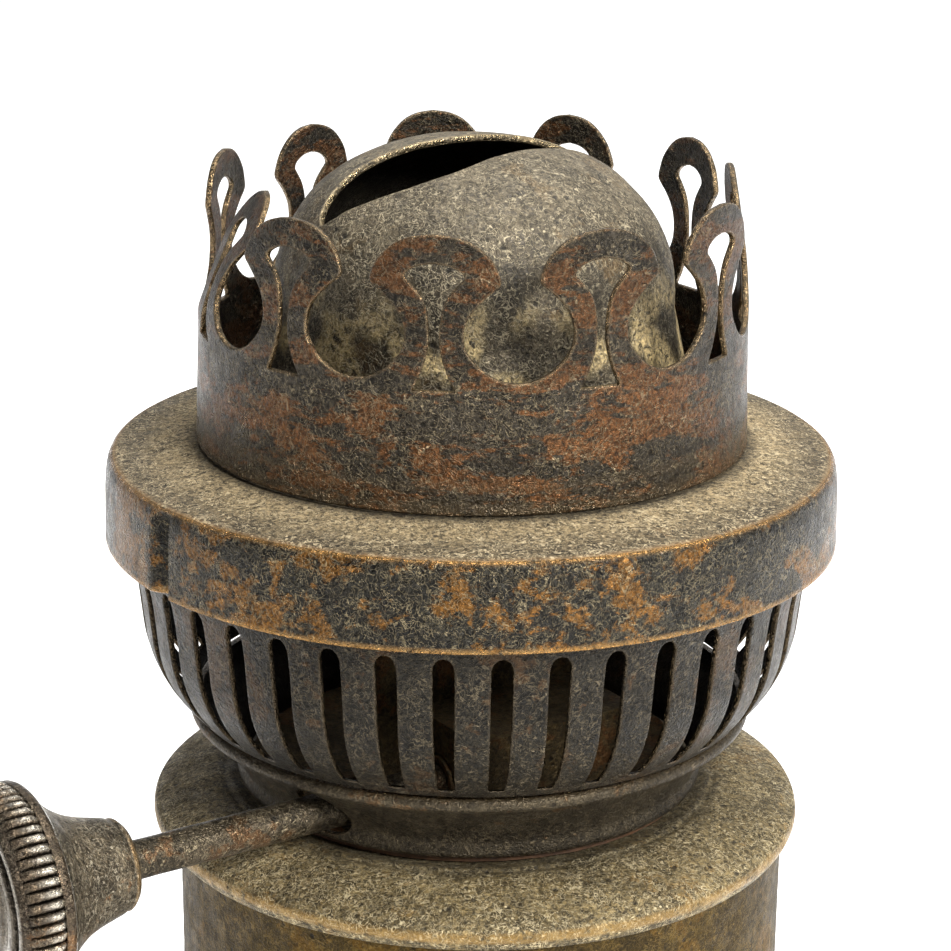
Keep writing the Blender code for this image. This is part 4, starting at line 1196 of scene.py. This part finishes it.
def build_wick():
    """A flat woven strip with raised warp cords, a soft wavy top and charred fibres."""
    mesh = frame["nodes"]["wick"].data
    along = [(v.co - BURNER).dot(SHAFT_DIR) for v in mesh.vertices]
    through = [(v.co - BURNER).dot(ACROSS) for v in mesh.vertices]
    half_width = (max(along) - min(along)) / 2 - 0.15 * MM
    centre = BURNER + ACROSS * (max(through) + min(through)) / 2 + SHAFT_DIR * (max(along) + min(along)) / 2
    half_thick = (max(through) - min(through)) / 2 - 0.12 * MM
    low, high = lowest("wick"), highest("wick")
    cords = 19
    around = []
    steps = cords * 6
    for i in range(steps):
        x = -1 + 2 * i / (steps - 1)
        around.append((x, 1))
    around += [(x, -s) for x, s in reversed(around)]
    rows = 150
    bm = bmesh.new()
    ages_and_shades = []
    rings = []
    for row in range(rows + 1):
        share = row / rows
        ring = []
        for x, side in around:
            cord = abs(math.sin((x + 1) / 2 * math.pi * cords))
            weave = 0.5 + 0.5 * math.sin(share * math.tau * 60 + math.pi * int((x + 1) / 2 * cords))
            end_round = math.sqrt(max(0.0, 1 - abs(x) ** 14))
            thick = half_thick * end_round * (0.86 + 0.14 * cord - 0.05 * weave)
            top_wave = wobble((x * 3, side * 0.4, 0), 0.5, 0.45 * MM, 4.0)
            z = low + (high - 0.5 * MM - low + top_wave) * share
            spot = centre + SHAFT_DIR * x * half_width + ACROSS * side * thick + Vector((0, 0, z))
            ring.append(bm.verts.new(spot))
            ages_and_shades.append((0.0, 0.0, ramp_up(z, high - 5.5 * MM, high - 1.0 * MM)))
        rings.append(ring)
    count = len(around)
    for first, second in zip(rings, rings[1:]):
        for i in range(count):
            after = (i + 1) % count
            bm.faces.new([first[i], first[after], second[after], second[i]])
    bm.faces.new(rings[0][::-1])
    bm.faces.new(rings[-1])
    new_piece("wick_strip", bm, ages_and_shades, COTTON, "wick", ("wick",))


def dress_inner_nodes():
    """The pieces hidden inside keep their CAD shape and get an aged finish."""
    for node in ("fount_collar", "threaded_ring", "burner_floor", "air_diffuser", "wick_tube",
                 "winder_housing",
                 "bush_inner", "bush_outer", "stop_ring", "sprocket_1", "sprocket_2", "sprocket_3"):
        piece = frame["nodes"][node]
        piece.data.materials.clear()
        piece.data.materials.append(INNER_BRASS)
    gasket = frame["nodes"]["gasket_ring"]
    gasket.data.materials.clear()
    gasket.data.materials.append(LEATHER)


# ---- camera, floor and light

LIT = Vector((0.0, 0.0, 0.08))

def build_camera():
    """Stands in front of the lamp and looks a little down at the burner."""
    elevation = math.radians(17.5)
    distance = 0.2645
    aim = Vector((LID.x, 0.0, 0.080))
    camera = bpy.data.cameras.new("camera")
    camera.sensor_width = 36
    camera.lens = 98.61
    camera.clip_start = 0.01
    camera.clip_end = 20
    obj = in_scene("camera", camera)
    place = Matrix.Translation(aim + Vector((0, -math.cos(elevation), math.sin(elevation))) * distance)
    tilt = Matrix.Rotation(math.pi / 2 - elevation, 4, "X")
    turn = Matrix.Rotation(math.radians(0.08), 4, "Y") @ Matrix.Rotation(math.radians(0.69), 4, "Z")
    obj.matrix_world = place @ tilt @ turn
    bpy.context.scene.camera = obj


def area_light(name, place, size, power, colour=(1.0, 1.0, 1.0)):
    """A soft box that shines at the burner."""
    light = bpy.data.lights.new(name, "AREA")
    light.shape = "RECTANGLE"
    light.size, light.size_y = size
    light.energy = power
    light.color = colour
    obj = in_scene(name, light)
    obj.location = place
    obj.rotation_euler = (LIT - Vector(place)).to_track_quat("-Z", "Y").to_euler()


def build_floor():
    """A pale floor, bright enough to stay near white, that still takes a soft shadow."""
    bm = bmesh.new()
    bmesh.ops.create_grid(bm, x_segments=1, y_segments=1, size=6.0)
    mesh = bpy.data.meshes.new("floor")
    bm.to_mesh(mesh)
    bm.free()
    floor = in_scene("floor", mesh)
    n = Nodes("floor_paper", 0.1)
    grain = n.noise(3.0, 3, 0.5)
    colour = n.blend(n.rise(grain, 0.3, 0.7), srgb(246, 246, 246), srgb(250, 250, 250))
    n.shader.inputs["Emission Color"].default_value = (1.0, 1.0, 1.0, 1.0)
    n.shader.inputs["Emission Strength"].default_value = 0.6
    mesh.materials.append(n.finish(colour, 0.9))


def build_light():
    """White paper behind and above, a darker room in front, and two large soft boxes."""
    world = bpy.data.worlds.new("studio")
    bpy.context.scene.world = world
    world.use_nodes = True
    tree = world.node_tree
    back = tree.nodes["Background"]
    place = tree.nodes.new("ShaderNodeTexCoord")
    parts = tree.nodes.new("ShaderNodeSeparateXYZ")
    tree.links.new(place.outputs["Generated"], parts.inputs[0])
    shade = tree.nodes.new("ShaderNodeMapRange")
    shade.interpolation_type = "SMOOTHSTEP"
    lean = tree.nodes.new("ShaderNodeMath")
    lean.operation = "MULTIPLY_ADD"
    tree.links.new(parts.outputs[0], lean.inputs[0])
    lean.inputs[1].default_value = 0.45
    tree.links.new(parts.outputs[1], lean.inputs[2])
    tree.links.new(lean.outputs[0], shade.inputs["Value"])
    shade.inputs["From Min"].default_value = -0.35
    shade.inputs["From Max"].default_value = 0.95
    shade.inputs["To Min"].default_value = 0.14
    shade.inputs["To Max"].default_value = 1.0
    tree.links.new(shade.outputs["Result"], back.inputs["Color"])
    back.inputs["Strength"].default_value = 0.6
    area_light("key_box", (0.42, -0.52, 0.50), (0.30, 0.24), 11.0, (1.0, 0.985, 0.96))
    area_light("top_box", (0.10, 0.05, 0.75), (0.45, 0.40), 5.0)
    area_light("side_box", (-0.55, -0.25, 0.30), (0.25, 0.5), 0.4)
    bpy.context.scene.view_settings.view_transform = "Standard"
    bpy.context.scene.view_settings.look = "None"
    bpy.context.scene.view_settings.exposure = 0.0


build_camera()
build_floor()
build_light()
build_crown()
build_plate()
build_dome()
build_seat_and_rivets()
build_basket()
build_collar()
build_fount()
build_winder()
build_wick()
dress_inner_nodes()
